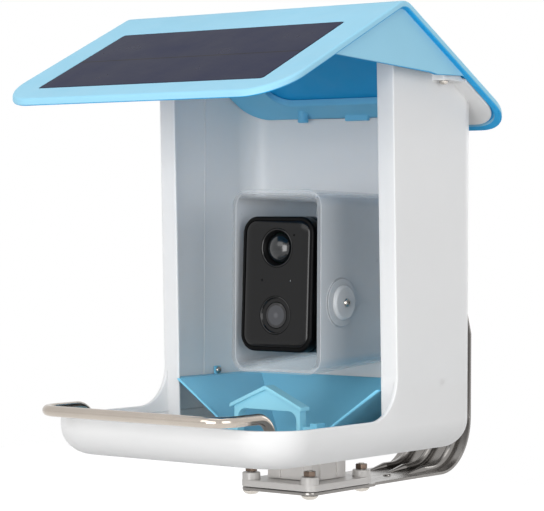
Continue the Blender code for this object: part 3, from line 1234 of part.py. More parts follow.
def make_bracket():
    low, high = BRACKET_TOP_Z - BRACKET_THICK, BRACKET_TOP_Z
    outer, inner = bend_arc(BRACKET_BEND), bend_arc(BRACKET_BEND - BRACKET_THICK)
    front, top = BRACKET_FRONT_Y - OVERRUN, BRACKET_HEAD_Z + OVERRUN
    side = [(front, low), *outer, (0, top), (-BRACKET_THICK, top), *inner[::-1], (front, high)]
    wide, half = BRACKET_FOOT_WIDTH / 2, BRACKET_WIDTH / 2
    bracket = extruded("wall_bracket", "X", -wide - OVERRUN, wide + OVERRUN, side)
    end, neck = BRACKET_FOOT_END_Y, BRACKET_FOOT_END_Y + BRACKET_SHOULDER
    plan = [(-wide, BRACKET_FRONT_Y), (wide, BRACKET_FRONT_Y), (wide, end), (half, neck), (half, OVERRUN),
            (-half, OVERRUN), (-half, neck), (-wide, end)]
    common(bracket, extruded("bracket_plan", "Z", low - OVERRUN, BRACKET_HEAD_Z + 2 * OVERRUN,
                             rounded(plan, [BRACKET_CORNER, BRACKET_CORNER, 0, 0, 0, 0, 0, 0]), cutter=True))
    past, shoulder, top = wide + OVERRUN, half + BRACKET_TAPER, half - BRACKET_TAPER
    head = [(-past, low - OVERRUN), (past, low - OVERRUN), (past, 0), (shoulder, 0), (top, BRACKET_HEAD_Z),
            (-top, BRACKET_HEAD_Z), (-shoulder, 0), (-past, 0)]
    corners = [0, 0, 0, 0, BRACKET_CORNER, BRACKET_CORNER, 0, 0]
    common(bracket, extruded("bracket_head", "Y", BRACKET_FRONT_Y - OVERRUN, 2 * OVERRUN, rounded(head, corners),
                             cutter=True))
    line = bend_arc(BRACKET_BEND - BRACKET_RIB - GAP)
    foot, head = line[0], line[-1]
    line = [(foot[0] - BRACKET_RIB_RUN, foot[1]), *line, (head[0], head[1] + BRACKET_RIB_RUN)]
    for x in (-BRACKET_RIB_X, 0, BRACKET_RIB_X):
        join(bracket, tube("bracket_rib", [(x, y, z) for y, z in line], BRACKET_RIB, 2, cutter=True))
    for _, x, y in bolt_places():
        cut(bracket, rod("arm_hole", (x, y, low - OVERRUN), "Z", BOLT_RADIUS + GAP, 2 * OVERRUN, SMALL_STEPS,
                         cutter=True))
    for x in (-WALL_HOLE_X, WALL_HOLE_X):
        for z in (-WALL_HOLE_Z, WALL_HOLE_Z):
            cut(bracket, rod("wall_fixing", (x, -OVERRUN, z), "Y", WALL_HOLE, 2 * OVERRUN, SMALL_STEPS, cutter=True))
    for x in (-RIVET_X, RIVET_X):
        join(bracket, screw("rivet", (x, RIVET_Y, high - GAP), "-Z", RIVET_SHANK, BRACKET_THICK / 2, RIVET_HEAD,
                            RIVET_RISE))
    dress(bracket, STEEL, 0.25, 1.0)


def make_grommet():
    near, far = -GAP - GROMMET_LIP, WALL + GAP + GROMMET_LIP
    rim = [(GROMMET_BORE, near), (GROMMET_RADIUS, near), (GROMMET_RADIUS, -GAP), (GROMMET_NECK, -GAP),
           (GROMMET_NECK, WALL + GAP), (GROMMET_RADIUS, WALL + GAP), (GROMMET_RADIUS, far), (GROMMET_BORE, far)]
    dress(turned("cable_grommet", (GROMMET_X, BACK_Y, GROMMET_Z), "Y", rim), RUBBER, 0.8)


def new_collection(name):
    made = bpy.data.collections.new(name)
    bpy.context.scene.collection.children.link(made)
    return made


def pivot_empty():
    """The tilt axis, with the camera's slight lean at rest. Camera pieces are modelled upright in place."""
    empty = bpy.data.objects.new("camera_tilt_axis", None)
    parts.objects.link(empty)
    empty.location = PIVOT
    empty.rotation_euler = (CAMERA_LEAN, 0, 0)
    return empty


def carry(empty, pieces):
    for piece in pieces:
        piece.parent = empty
        piece.matrix_parent_inverse = Matrix.Translation(-PIVOT)
        for modifier in piece.modifiers:
            if modifier.type == "BOOLEAN":
                modifier.object.parent = empty
                modifier.object.matrix_parent_inverse = Matrix.Translation(-PIVOT)


def main():
    global parts, cutters
    for old in list(bpy.data.objects):
        bpy.data.objects.remove(old)
    parts = new_collection("smart_bird_feeder")
    cutters = new_collection("cutters")
    cutters.hide_render = True
    make_house()
    make_ramp()
    make_gate()
    make_perch()
    make_sleeve()
    make_roof()
    make_liner()
    make_solar()
    make_roof_screws()
    make_grommet()
    make_block()
    make_plate()
    make_bracket()
    carry(pivot_empty(), make_case() + make_optics() + make_insides() + make_pivots())


main()
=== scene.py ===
"""Smart bird feeder on its wall bracket: the dressed model, its studio and its camera. Metres, +Z up."""

import math

import bmesh
import bpy
from mathutils import Matrix, Vector


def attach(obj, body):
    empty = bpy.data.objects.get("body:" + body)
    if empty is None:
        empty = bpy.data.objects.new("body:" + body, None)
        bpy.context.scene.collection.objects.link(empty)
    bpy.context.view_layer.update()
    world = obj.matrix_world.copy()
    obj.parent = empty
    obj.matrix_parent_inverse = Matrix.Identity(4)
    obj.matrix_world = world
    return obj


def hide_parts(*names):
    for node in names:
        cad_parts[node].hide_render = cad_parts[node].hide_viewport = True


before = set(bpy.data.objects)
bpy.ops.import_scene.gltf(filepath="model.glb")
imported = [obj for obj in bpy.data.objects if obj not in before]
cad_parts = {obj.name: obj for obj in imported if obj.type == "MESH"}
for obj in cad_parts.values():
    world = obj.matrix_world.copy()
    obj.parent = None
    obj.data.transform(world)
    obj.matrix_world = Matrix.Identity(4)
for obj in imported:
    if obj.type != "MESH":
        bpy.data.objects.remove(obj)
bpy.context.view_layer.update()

# Sizes that several pieces share
HALF = 0.090
WALL = 0.003
FRONT_Y, REAR_Y = -0.3015, -0.095
BASE_Z, RIM_Z = -0.046, -0.023
FLOOR_Z = BASE_Z + WALL
BACK_Y = REAR_Y - WALL
GAP = 0.0003
FAR = 0.02
APEX = Vector((0, -0.201, 0.2243))
FRONT_SLOPE, REAR_SLOPE = math.radians(25.3), math.radians(28.3)
FRONT_LENGTH, REAR_LENGTH = 0.138, 0.143
SHEET = 0.0025
PANEL_HEAD_Y, PANEL_FOOT_Y = -0.1932, -0.1852
PIVOT = Vector((0, -0.166, 0.0444))
LEAN = math.radians(-2)
CAMERA_FRONT_Y = -0.187
CAMERA_REAR_Y = -0.142
SLEEVE_FRONT_Y = -0.187
SLEEVE_FOOT_Z, SLEEVE_HEAD_Z = 0.0002, 0.1137
SLEEVE_SCREW_Z = (SLEEVE_FOOT_Z + SLEEVE_HEAD_Z) / 2
LINER = 0.004
FRONT_RADIUS, REAR_RADIUS, BASE_RADIUS = 0.030, 0.0188, 0.018
INNER_CORNER = 0.0155
RIDGE_RADIUS, ROOF_RADIUS, ROOF_LIP = 0.014, 0.026, 0.0045
PAST_SIDES = 0.12
WALL_HOLE_X, WALL_HOLE_Z = 0.014, 0.022
BLOCK_Y = -0.1537
PERCH_X, PERCH_Y = 0.068, -0.2805
TAB_X, TAB_Y = 0.0945, -0.144
PIR_Z, LENS_Z = 0.0771, 0.0355
OBJECTIVE_Z = 0.0362
CASE_HALF, SLEEVE_HALF = 0.0273, 0.0343
CASE_FOOT_Z, CASE_HEAD_Z = 0.013, 0.0965
CASE_WALL, FRONT_DEPTH, SEAL, FACE_THICK = 0.0018, 0.0085, 0.0012, 0.0014
BUTTON_Y, PRESS = -0.152, 0.0008
CLEAR_WALL, PAD_RISE = 0.003, 0.0015
PANEL_DIVIDE = 0.0805
PIN_SPOTS = ((-0.0108, 0.057), (0.0108, 0.057), (0.013, 0.085))
CASE_SCREW_SPOTS = ((-0.0211, 0.0192), (0.0211, 0.0903))
RING_SCREW_X, RING_SCREW_Y = 0.070, -0.139
FUNNEL_SCREW_Y, FUNNEL_SCREW_Z = -0.137, -0.0036
SLEEVE_SCREW_X = 0.02705
GROMMET_X, GROMMET_Z = 0.045, 0.132
SHANK, BORE = 0.0015, 0.0018
BOLT_X, BOLT_RUN, BOLT_BORE = 0.0226, 0.0276, 0.0023
BLOCK_HEIGHT, PLATE_THICK = 0.0202, 0.0044
SIDES = (-1, 1)
BOLT_SPOTS = [(sx * BOLT_X, BLOCK_Y + sy * BOLT_RUN) for sx in SIDES for sy in SIDES]

# The camera's pieces are modelled upright and then lean about the tilt pivot
TILT = Matrix.Translation(PIVOT) @ Matrix.Rotation(LEAN, 4, "X") @ Matrix.Translation(-PIVOT)


def slope_point(side, along, below):
    """(y, z) on the rear (+1) or front (-1) slope, that far from the apex and that far below the top plane."""
    angle = REAR_SLOPE if side > 0 else FRONT_SLOPE
    return (APEX.y + side * (along * math.cos(angle) - below * math.sin(angle)),
            APEX.z - along * math.sin(angle) - below * math.cos(angle))


def rear_z(y, below):
    return APEX.z - (y - APEX.y) * math.tan(REAR_SLOPE) - below / math.cos(REAR_SLOPE)


def front_z(y, below):
    return APEX.z - (APEX.y - y) * math.tan(FRONT_SLOPE) - below / math.cos(FRONT_SLOPE)


def crest(below):
    """Where the planes that lie that far below both slopes meet."""
    step = below / math.cos(REAR_SLOPE) - below / math.cos(FRONT_SLOPE)
    y = APEX.y - step / (math.tan(FRONT_SLOPE) + math.tan(REAR_SLOPE))
    return y, front_z(y, below)


def span(side, near, far):
    """Two distances from the middle on one side, lowest first."""
    return sorted((side * near, side * far))


def outward(bm):
    """Turns the faces of a closed form outwards."""
    bmesh.ops.recalc_face_normals(bm, faces=bm.faces)
    if bm.calc_volume(signed=True) < 0:
        bmesh.ops.reverse_faces(bm, faces=bm.faces)


def new_object(name, bm):
    mesh = bpy.data.meshes.new(name)
    bm.to_mesh(mesh)
    bm.free()
    made = bpy.data.objects.new(name, mesh)
    bpy.context.scene.collection.objects.link(made)
    return made


FLAT = {
    "X": Matrix(((0, 0, 1, 0), (1, 0, 0, 0), (0, 1, 0, 0), (0, 0, 0, 1))),
    "Y": Matrix(((1, 0, 0, 0), (0, 0, 1, 0), (0, 1, 0, 0), (0, 0, 0, 1))),
    "Z": Matrix.Identity(4),
}


def prism(name, axis, low, high, corners, steps=10):
    """A solid from a flat outline of (u, v) or (u, v, radius) corners, from low to high along an axis."""
    bm = bmesh.new()
    points = [bm.verts.new((c[0], c[1], low)) for c in corners]
    bm.faces.new(points)
    for i, corner in enumerate(corners):
        if len(corner) < 3 or corner[2] <= 0:
            continue
        here = Vector(corner[:2])
        before, after = Vector(corners[i - 1][:2]) - here, Vector(corners[(i + 1) % len(corners)][:2]) - here
        tangent = corner[2] / math.tan(before.angle(after) / 2)
        bmesh.ops.bevel(bm, geom=[points[i]], offset=tangent, offset_type="OFFSET", affect="VERTICES",
                        segments=steps, profile=0.5, material=-1)
    raised = bmesh.ops.extrude_face_region(bm, geom=bm.faces[:])
    moved = [v for v in raised["geom"] if isinstance(v, bmesh.types.BMVert)]
    bmesh.ops.translate(bm, verts=moved, vec=(0, 0, high - low))
    bmesh.ops.transform(bm, matrix=FLAT[axis], verts=bm.verts)
    outward(bm)
    return new_object(name, bm)


def rectangle(u0, u1, v0, v1, *radii):
    radii = radii if len(radii) == 4 else (radii or (0,)) * 4
    return [(u0, v0, radii[0]), (u1, v0, radii[1]), (u1, v1, radii[2]), (u0, v1, radii[3])]


def block(name, low, high):
    return prism(name, "Z", low[2], high[2], rectangle(low[0], high[0], low[1], high[1]))


TURNS = {
    "X": Matrix.Rotation(math.pi / 2, 4, "Y"), "-X": Matrix.Rotation(-math.pi / 2, 4, "Y"),
    "Y": Matrix.Rotation(-math.pi / 2, 4, "X"), "-Y": Matrix.Rotation(math.pi / 2, 4, "X"),
    "Z": Matrix.Identity(4), "-Z": Matrix.Rotation(math.pi, 4, "X"),
}


def turned(name, place, axis, profile, steps=48, closed=False):
    """A turned solid: its profile is (radius, height along the axis); closed joins its ends, as on a ring."""
    bm = bmesh.new()
    points = [bm.verts.new((r, 0, h)) for r, h in profile]
    edges = [bm.edges.new(pair) for pair in zip(points, points[1:])]
    if closed:
        edges.append(bm.edges.new((points[-1], points[0])))
    bmesh.ops.spin(bm, geom=points + edges, cent=(0, 0, 0), axis=(0, 0, 1), angle=2 * math.pi, steps=steps,
                   use_merge=True)
    bmesh.ops.remove_doubles(bm, verts=bm.verts, dist=1e-6)
    outward(bm)
    turn = TURNS[axis] if isinstance(axis, str) else Vector(axis).to_track_quat("Z", "Y").to_matrix().to_4x4()
    bmesh.ops.transform(bm, matrix=Matrix.Translation(place) @ turn, verts=bm.verts)
    return new_object(name, bm)


def rod(name, place, axis, radius, length, steps=32):
    return turned(name, place, axis, [(0, 0), (radius, 0), (radius, length), (0, length)], steps)


def bar(name, path, radius, bend, sides=24, tip=1.0):
    """A round bar along a path whose corners are bent to a radius; its ends taper to a share of its radius."""
    bm = bmesh.new()
    points = [bm.verts.new(p) for p in path]
    for pair in zip(points, points[1:]):
        bm.edges.new(pair)
    for i in range(1, len(path) - 1):
        here = Vector(path[i])
        half = (Vector(path[i - 1]) - here).angle(Vector(path[i + 1]) - here) / 2
        bmesh.ops.bevel(bm, geom=[points[i]], offset=bend / math.tan(half), offset_type="OFFSET",
                        affect="VERTICES", segments=14, profile=0.5, material=-1)
    line = new_object(name + "_line", bm)
    bpy.context.view_layer.objects.active = line
    curve = bpy.data.curves.new(name, "CURVE")
    curve.dimensions = "3D"
    ends = line.data.vertices
    order = chain(line.data)
    spline = curve.splines.new("POLY")
    spline.points.add(len(order) - 1)
    for point, index in zip(spline.points, order):
        point.co = (*ends[index].co, 1)
    spline.points[0].radius = spline.points[-1].radius = tip
    curve.bevel_depth = radius
    curve.bevel_resolution = sides // 4
    curve.use_fill_caps = True
    maker = bpy.data.objects.new(name, curve)
    bpy.context.scene.collection.objects.link(maker)
    bpy.context.view_layer.update()
    mesh = bpy.data.meshes.new_from_object(maker.evaluated_get(bpy.context.evaluated_depsgraph_get()))
    bpy.data.objects.remove(maker)
    bpy.data.objects.remove(line)
    bm = bmesh.new()
    bm.from_mesh(mesh)
    bmesh.ops.remove_doubles(bm, verts=bm.verts, dist=2e-6)
    outward(bm)
    return new_object(name, bm)


def chain(mesh):
    """The mesh line's vertex numbers from one end to the other."""
    joined = {}
    for edge in mesh.edges:
        a, b = edge.vertices
        joined.setdefault(a, []).append(b)
        joined.setdefault(b, []).append(a)
    here = min(v for v, others in joined.items() if len(others) == 1)
    order = [here]
    while True:
        onward = [v for v in joined[here] if v not in order[-2:]]
        if not onward:
            return order
        here = onward[0]
        order.append(here)


def shape(target, *steps):
    """Applies Booleans: each step is ("cut" | "join" | "common", other). The others are used up."""
    kinds = {"cut": "DIFFERENCE", "join": "UNION", "common": "INTERSECT"}
    for kind, other in steps:
        step = target.modifiers.new(kind, "BOOLEAN")
        step.operation = kinds[kind]
        step.solver = "EXACT"
        step.object = other
    bpy.context.view_layer.update()
    mesh = bpy.data.meshes.new_from_object(target.evaluated_get(bpy.context.evaluated_depsgraph_get()))
    target.modifiers.clear()
    target.data = mesh
    for _, other in steps:
        bpy.data.objects.remove(other)
    bm = bmesh.new()
    bm.from_mesh(mesh)
    bmesh.ops.remove_doubles(bm, verts=bm.verts, dist=5e-6)
    bmesh.ops.dissolve_limit(bm, angle_limit=math.radians(0.4), verts=bm.verts, edges=bm.edges)
    bm.to_mesh(mesh)
    bm.free()
    return target


def soften(target, width, segments=3, least=35, where=None):
    """Rounds the edges sharper than an angle, all of them or those whose middle passes a test."""
    bm = bmesh.new()
    bm.from_mesh(target.data)
    chosen = []
    for edge in bm.edges:
        if len(edge.link_faces) != 2 or edge.calc_face_angle(0) < math.radians(least):
            continue
        if where is None or where((edge.verts[0].co + edge.verts[1].co) / 2):
            chosen.append(edge)
    bmesh.ops.bevel(bm, geom=chosen, offset=width, offset_type="OFFSET", affect="EDGES", segments=segments,
                    profile=0.5, material=-1, clamp_overlap=False, miter_outer="ARC")
    bmesh.ops.remove_doubles(bm, verts=bm.verts, dist=5e-6)
    bmesh.ops.dissolve_degenerate(bm, edges=bm.edges, dist=5e-6)
    outward(bm)
    bm.to_mesh(target.data)
    bm.free()
    return target


def pillow(plate, width, depth, steps=8):
    """Rounds a plate's front face back over a wide band, like the edge of a pebble."""
    bm = bmesh.new()
    bm.from_mesh(plate.data)
    front = min(bm.faces, key=lambda f: f.calc_center_median().y)
    bmesh.ops.translate(bm, verts=front.verts, vec=(0, depth, 0))
    for i in range(steps):
        turn, after = math.pi / 2 * i / steps, math.pi / 2 * (i + 1) / steps
        bmesh.ops.inset_region(bm, faces=[front], thickness=width * (math.cos(turn) - math.cos(after)),
                               depth=depth * (math.sin(after) - math.sin(turn)), use_even_offset=True)
    bm.to_mesh(plate.data)
    bm.free()
    return plate


def transformed(made, matrix):
    made.data.transform(matrix)
    return made


def fit(made, body, look, slot, *nodes, angle=32):
    """Finishes a piece: smooth shading, its material, the body that it rides on and the nodes that it replaces."""
    made.data.shade_smooth()
    made.data.set_sharp_from_angle(angle=math.radians(angle))
    weight = made.modifiers.new("weighted", "WEIGHTED_NORMAL")
    weight.keep_sharp = True
    made.data.materials.clear()
    made.data.materials.append(look)
    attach(made, body)
    if nodes:
        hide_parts(*nodes)
    return made


# Materials


def new_look(name):
    look = bpy.data.materials.new(name)
    look.use_nodes = True
    return look, look.node_tree.nodes, look.node_tree.links, look.node_tree.nodes["Principled BSDF"]


def linear(code):
    """A linear colour from an sRGB hex code."""
    channels = [int(code[i:i + 2], 16) / 255 for i in (0, 2, 4)]
    return [c / 12.92 if c <= 0.04045 else ((c + 0.055) / 1.055) ** 2.4 for c in channels]


def field(nodes, links, scale, detail=2.0, roughness=0.5, stretch=(1, 1, 1), kind="ShaderNodeTexNoise"):
    """A noise on Object coordinates."""
    where = nodes.new("ShaderNodeTexCoord")
    place = nodes.new("ShaderNodeMapping")
    place.inputs["Scale"].default_value = stretch
    links.new(where.outputs["Object"], place.inputs["Vector"])
    noise = nodes.new(kind)
    links.new(place.outputs["Vector"], noise.inputs["Vector"])
    noise.inputs["Scale"].default_value = scale
    noise.inputs["Detail"].default_value = detail
    noise.inputs["Roughness"].default_value = roughness
    return noise.outputs[0]


def spread(nodes, links, source, low, high, start=0.3, end=0.7):
    """The source from start to end, made a number from low to high."""
    ranged = nodes.new("ShaderNodeMapRange")
    for key, value in (("From Min", start), ("From Max", end), ("To Min", low), ("To Max", high)):
        ranged.inputs[key].default_value = value
    links.new(source, ranged.inputs["Value"])
    return ranged.outputs["Result"]


def blend(nodes, links, factor, first, second):
    mix = nodes.new("ShaderNodeMix")
    mix.data_type = "RGBA"
    links.new(factor, mix.inputs["Factor"])
    for socket, value in ((mix.inputs["A"], first), (mix.inputs["B"], second)):
        if isinstance(value, (list, tuple)):
            socket.default_value = (*value[:3], 1)
        else:
            links.new(value, socket)
    return mix.outputs["Result"]


def settings(shader, **values):
    """Sets sockets by name, with _ for a space."""
    for key, value in values.items():
        shader.inputs[key.replace("_", " ")].default_value = value


def worked(nodes, links, operation, source, value=None):
    """A Math node on the source, with a second value where it takes one."""
    node = nodes.new("ShaderNodeMath")
    node.operation = operation
    links.new(source, node.inputs[0])
    if value is not None:
        node.inputs[1].default_value = value
    return node.outputs[0]


def directions(nodes, links, normal="Normal"):
    """The parts of the way that the surface faces."""
    facing = nodes.new("ShaderNodeNewGeometry")
    parts = nodes.new("ShaderNodeSeparateXYZ")
    links.new(facing.outputs[normal], parts.inputs["Vector"])
    return parts.outputs


def clouded(nodes, links, shader, code, scale, shade):
    """A base colour with faint clouds that are darker by a factor."""
    base = linear(code)
    clouds = field(nodes, links, scale, 3.0, 0.5)
    tone = blend(nodes, links, spread(nodes, links, clouds, 0, 1), [c * shade for c in base], base)
    links.new(tone, shader.inputs["Base Color"])


def bump(nodes, links, shader, source, strength, distance):
    raised = nodes.new("ShaderNodeBump")
    raised.inputs["Strength"].default_value = strength
    raised.inputs["Distance"].default_value = distance
    links.new(source, raised.inputs["Height"])
    links.new(raised.outputs["Normal"], shader.inputs["Normal"])


def moulded(name, code, rough, shift=0.05, grain=0.25, coat=0.0, scale=1500, subsurface=0.0, inside=None,
            shine=0.5):
    """Moulded plastic: slight flow clouds in the colour, a fine spark-eroded grain and uneven gloss.

    Inside is a painted shade: the colour given to the faces that look down, standing in for the shade beneath the
    moulding and the light that comes through it there.
    """
    look, nodes, links, shader = new_look(name)
    base = linear(code)
    darker = [c * (1 - shift) for c in base]
    lighter = [min(1.0, c * (1 + shift)) for c in base]
    clouds = field(nodes, links, 14, 3.0, 0.55)
    tone = blend(nodes, links, spread(nodes, links, clouds, 0, 1), darker, lighter)
    if inside:
        # Painted shade: faces that look down are blended towards the inside colour.
        down = spread(nodes, links, directions(nodes, links, "True Normal")["Z"], 1, 0, -0.6, -0.2)
        tone = blend(nodes, links, down, tone, linear(inside))
    links.new(tone, shader.inputs["Base Color"])
    shader.inputs["Specular IOR Level"].default_value = shine
    patches = field(nodes, links, 60, 4.0, 0.6)
    links.new(spread(nodes, links, patches, rough * 0.88, rough * 1.14), shader.inputs["Roughness"])
    bump(nodes, links, shader, field(nodes, links, scale, 2.0), grain, 0.00004)
    settings(shader, Coat_Weight=coat, Coat_Roughness=0.12)
    if subsurface:
        settings(shader, Subsurface_Weight=subsurface, Subsurface_Radius=(0.006, 0.006, 0.006), Subsurface_Scale=1.0)
    return look


def steel(name, code, rough, stretch, brushed=0.25):
    """Bright drawn steel: fine lines along its length, faint clouds of polish."""
    look, nodes, links, shader = new_look(name)
    clouded(nodes, links, shader, code, 38, 0.9)
    lines = field(nodes, links, 260, 3.0, 0.6, stretch)
    links.new(spread(nodes, links, lines, rough * 0.75, rough * 1.3), shader.inputs["Roughness"])
    shader.inputs["Metallic"].default_value = 1.0
    bump(nodes, links, shader, lines, brushed, 0.00002)
    return look


def clear(name, code, rough, through):
    """Clear moulded plastic with a trace of haze and handling marks."""
    look, nodes, links, shader = new_look(name)
    clouded(nodes, links, shader, code, 26, 0.88)
    marks = field(nodes, links, 90, 5.0, 0.65)
    links.new(spread(nodes, links, marks, rough * 0.8, rough * 1.3), shader.inputs["Roughness"])
    settings(shader, Transmission_Weight=through, IOR=1.46)
    bump(nodes, links, shader, field(nodes, links, 120, 2.0), 0.08, 0.00005)
    return look


def hazy(name, code, rough, cover, flat=None, edge=None):
    """Thin clear plastic with a haze: how much it covers, and how much on its level faces and front edge."""
    look, nodes, links, shader = new_look(name)
    clouded(nodes, links, shader, code, 26, 0.93)
    shader.inputs["Alpha"].default_value = cover
    if flat is not None:
        parts = directions(nodes, links)
        level = None
        for direction, amount in (("Z", flat), ("Y", edge)):
            size = worked(nodes, links, "ABSOLUTE", parts[direction])
            chosen = nodes.new("ShaderNodeMix")
            links.new(spread(nodes, links, size, 0, 1, 0.5, 0.95), chosen.inputs["Factor"])
            if level is None:
                chosen.inputs["A"].default_value = cover
            else:
                links.new(level, chosen.inputs["A"])
            chosen.inputs["B"].default_value = amount
            level = chosen.outputs["Result"]
        links.new(level, shader.inputs["Alpha"])
    marks = field(nodes, links, 90, 5.0, 0.65)
    links.new(spread(nodes, links, marks, rough * 0.9, rough * 1.15), shader.inputs["Roughness"])
    bump(nodes, links, shader, field(nodes, links, 900, 2.0), 0.05, 0.00003)
    return look


def solar_look():
    """Laminated solar panel: dark cells with fine wires and a line between the two strips, under a textured film."""
    look, nodes, links, shader = new_look("solar_film")
    where = nodes.new("ShaderNodeTexCoord")
    place = nodes.new("ShaderNodeMapping")
    place.inputs["Location"].default_value = -APEX
    place.vector_type = "POINT"
    links.new(where.outputs["Object"], place.inputs["Vector"])
    turn = nodes.new("ShaderNodeMapping")
    turn.inputs["Rotation"].default_value = (-FRONT_SLOPE, 0, 0)
    links.new(place.outputs["Vector"], turn.inputs["Vector"])
    parts = nodes.new("ShaderNodeSeparateXYZ")
    links.new(turn.outputs["Vector"], parts.inputs["Vector"])

    def line(source, middle, half):
        """1 within half of middle, 0 outside."""
        size = worked(nodes, links, "ABSOLUTE", worked(nodes, links, "SUBTRACT", source, middle))
        return spread(nodes, links, size, 1, 0, half * 0.8, half * 1.2)

    def repeated(source, step, half):
        """1 in thin bands that repeat every step."""
        wave = worked(nodes, links, "PINGPONG", source, step / 2)
        return spread(nodes, links, wave, 1, 0, half * 0.7, half * 1.3)

    base = linear("191F3C")
    clouds = field(nodes, links, 30, 4.0, 0.6)
    tone = blend(nodes, links, spread(nodes, links, clouds, 0, 1), [c * 0.86 for c in base], [c * 1.1 for c in base])
    tone = blend(nodes, links, repeated(parts.outputs["Y"], 0.0022, 0.00012), tone, linear("2E2F42"))
    tone = blend(nodes, links, line(parts.outputs["Y"], -PANEL_DIVIDE, 0.0007), tone, linear("11111A"))
    links.new(tone, shader.inputs["Base Color"])
    film = field(nodes, links, 900, 2.0)
    links.new(spread(nodes, links, clouds, 0.26, 0.36), shader.inputs["Roughness"])
    bump(nodes, links, shader, film, 0.15, 0.00004)
    settings(shader, Specular_IOR_Level=0.3, IOR=1.12)
    return look


def lens_look(name, deep, rim, rough):
    """Coated glass: dark face on, with a painted reflection that lightens the base colour where the surface is seen
    edge on.
    """
    look, nodes, links, shader = new_look(name)
    # Painted reflection: the base colour turns from deep to rim as the surface turns edge on.
    shade = nodes.new("ShaderNodeLayerWeight")
    shade.inputs["Blend"].default_value = 0.35
    tone = blend(nodes, links, shade.outputs["Facing"], linear(deep), linear(rim))
    links.new(tone, shader.inputs["Base Color"])
    marks = field(nodes, links, 200, 3.0)
    links.new(spread(nodes, links, marks, rough * 0.8, rough * 1.25), shader.inputs["Roughness"])
    settings(shader, Coat_Weight=0.3, Coat_Roughness=0.08)
    bump(nodes, links, shader, marks, 0.02, 0.00003)
    return look


def objective_look():
    """The camera's lens: a pale middle that is a painted highlight, a grey disc and a dark rim, by distance from its
    axis.
    """
    look, nodes, links, shader = new_look("coated_objective")
    where = nodes.new("ShaderNodeTexCoord")
    centred = nodes.new("ShaderNodeMapping")
    centred.inputs["Location"].default_value = (0, 0, -OBJECTIVE_Z)
    centred.inputs["Scale"].default_value = (1, 0, 1)
    links.new(where.outputs["Object"], centred.inputs["Vector"])
    away = nodes.new("ShaderNodeVectorMath")
    away.operation = "LENGTH"
    links.new(centred.outputs["Vector"], away.inputs[0])
    # Painted highlight: the pale middle colour stands in for a glint on the glass.
    disc = blend(nodes, links, spread(nodes, links, away.outputs["Value"], 0, 1, 0.0008, 0.0022), linear("545458"),
                 linear("3E3F43"))
    tone = blend(nodes, links, spread(nodes, links, away.outputs["Value"], 0, 1, 0.0058, 0.0066), disc,
                 linear("1A1A1C"))
    links.new(tone, shader.inputs["Base Color"])
    marks = field(nodes, links, 200, 3.0)
    links.new(spread(nodes, links, marks, 0.1, 0.16), shader.inputs["Roughness"])
    bump(nodes, links, shader, marks, 0.02, 0.00003)
    return look


LOOKS = {
    # The roof's inside colour is painted shade on the faces that look down.
    "roof": moulded("sky_blue_roof", "9AD3EC", 0.5, 0.03, 0.3, inside="22A6E4", shine=0.2),
    "liner": moulded("plug_ring_blue", "78C4E8", 0.5, 0.04, 0.3, shine=0.25),
    "ramp": moulded("funnel_blue", "86D4F2", 0.45, 0.04, 0.25, shine=0.3),
    "gate": moulded("gate_blue", "9CDFF4", 0.45, 0.04, 0.25, shine=0.3),
    "white": moulded("housing_white", "EAEAEA", 0.4, 0.012, 0.16, subsurface=0.4, shine=0.35),
    "mount": moulded("mount_plastic", "CCC9C6", 0.34, 0.03, 0.12, 0.2, subsurface=0.2),
    # Painted light: the block gets a lighter copy of the mount plastic, standing in for light that its shade takes
    # away.
    "block": moulded("mount_plastic_lit_copy", "E0DDDA", 0.34, 0.03, 0.12, 0.1, subsurface=0.2),
    "gloss": moulded("camera_gloss", "0E0E0F", 0.16, 0.08, 0.02, 0.05, shine=0.25),
    "satin": moulded("camera_satin", "030304", 0.4, 0.1, 0.2, shine=0.08),
    "black_grip": moulded("black_rubber", "1B1B1C", 0.75, 0.1, 0.5, scale=900),
    "board": moulded("green_solder_mask", "17532B", 0.4, 0.2, 0.3),
    "sleeve_wrap": moulded("battery_wrap", "1C4C9A", 0.3, 0.1, 0.15),
    "backing": moulded("panel_backing", "D8D8D8", 0.5, 0.03, 0.2),
    "perch": steel("perch_steel", "BDB4AA", 0.17, (0.02, 1, 1)),
    "bracket": steel("bracket_steel", "8C8986", 0.22, (1, 0.12, 0.12)),
    "fixing": steel("fixing_steel", "C6C0B8", 0.26, (1, 1, 1)),
    "nut": steel("nut_steel", "6C5E54", 0.3, (1, 1, 1)),
    "sleeve": hazy("clear_sleeve", "D3D7DB", 0.3, 0.84, flat=0.08, edge=0.25),
    "disc": hazy("clear_discs", "F0F2F4", 0.2, 0.6),
    "guide": clear("light_guide", "E8ECEC", 0.2, 0.6),
    "solar": solar_look(),
    "dome": lens_look("smoked_dome", "080C0F", "1E262B", 0.2),
    "glass": objective_look(),
}


# Housing


def house_form(name, inset, top):
    """The housing's outer form, or that form moved in by an inset: round upright corners and a round base."""
    front, rear = FRONT_RADIUS - inset, REAR_RADIUS - inset
    half = HALF - inset
    made = prism(name, "Z", BASE_Z + inset, top,
                 rectangle(-half, half, FRONT_Y + inset, REAR_Y - inset, front, front, rear, rear), 12)
    low = BASE_Z + inset + 1e-5
    return soften(made, BASE_RADIUS - inset, 12, 60, lambda p: p.z < low)


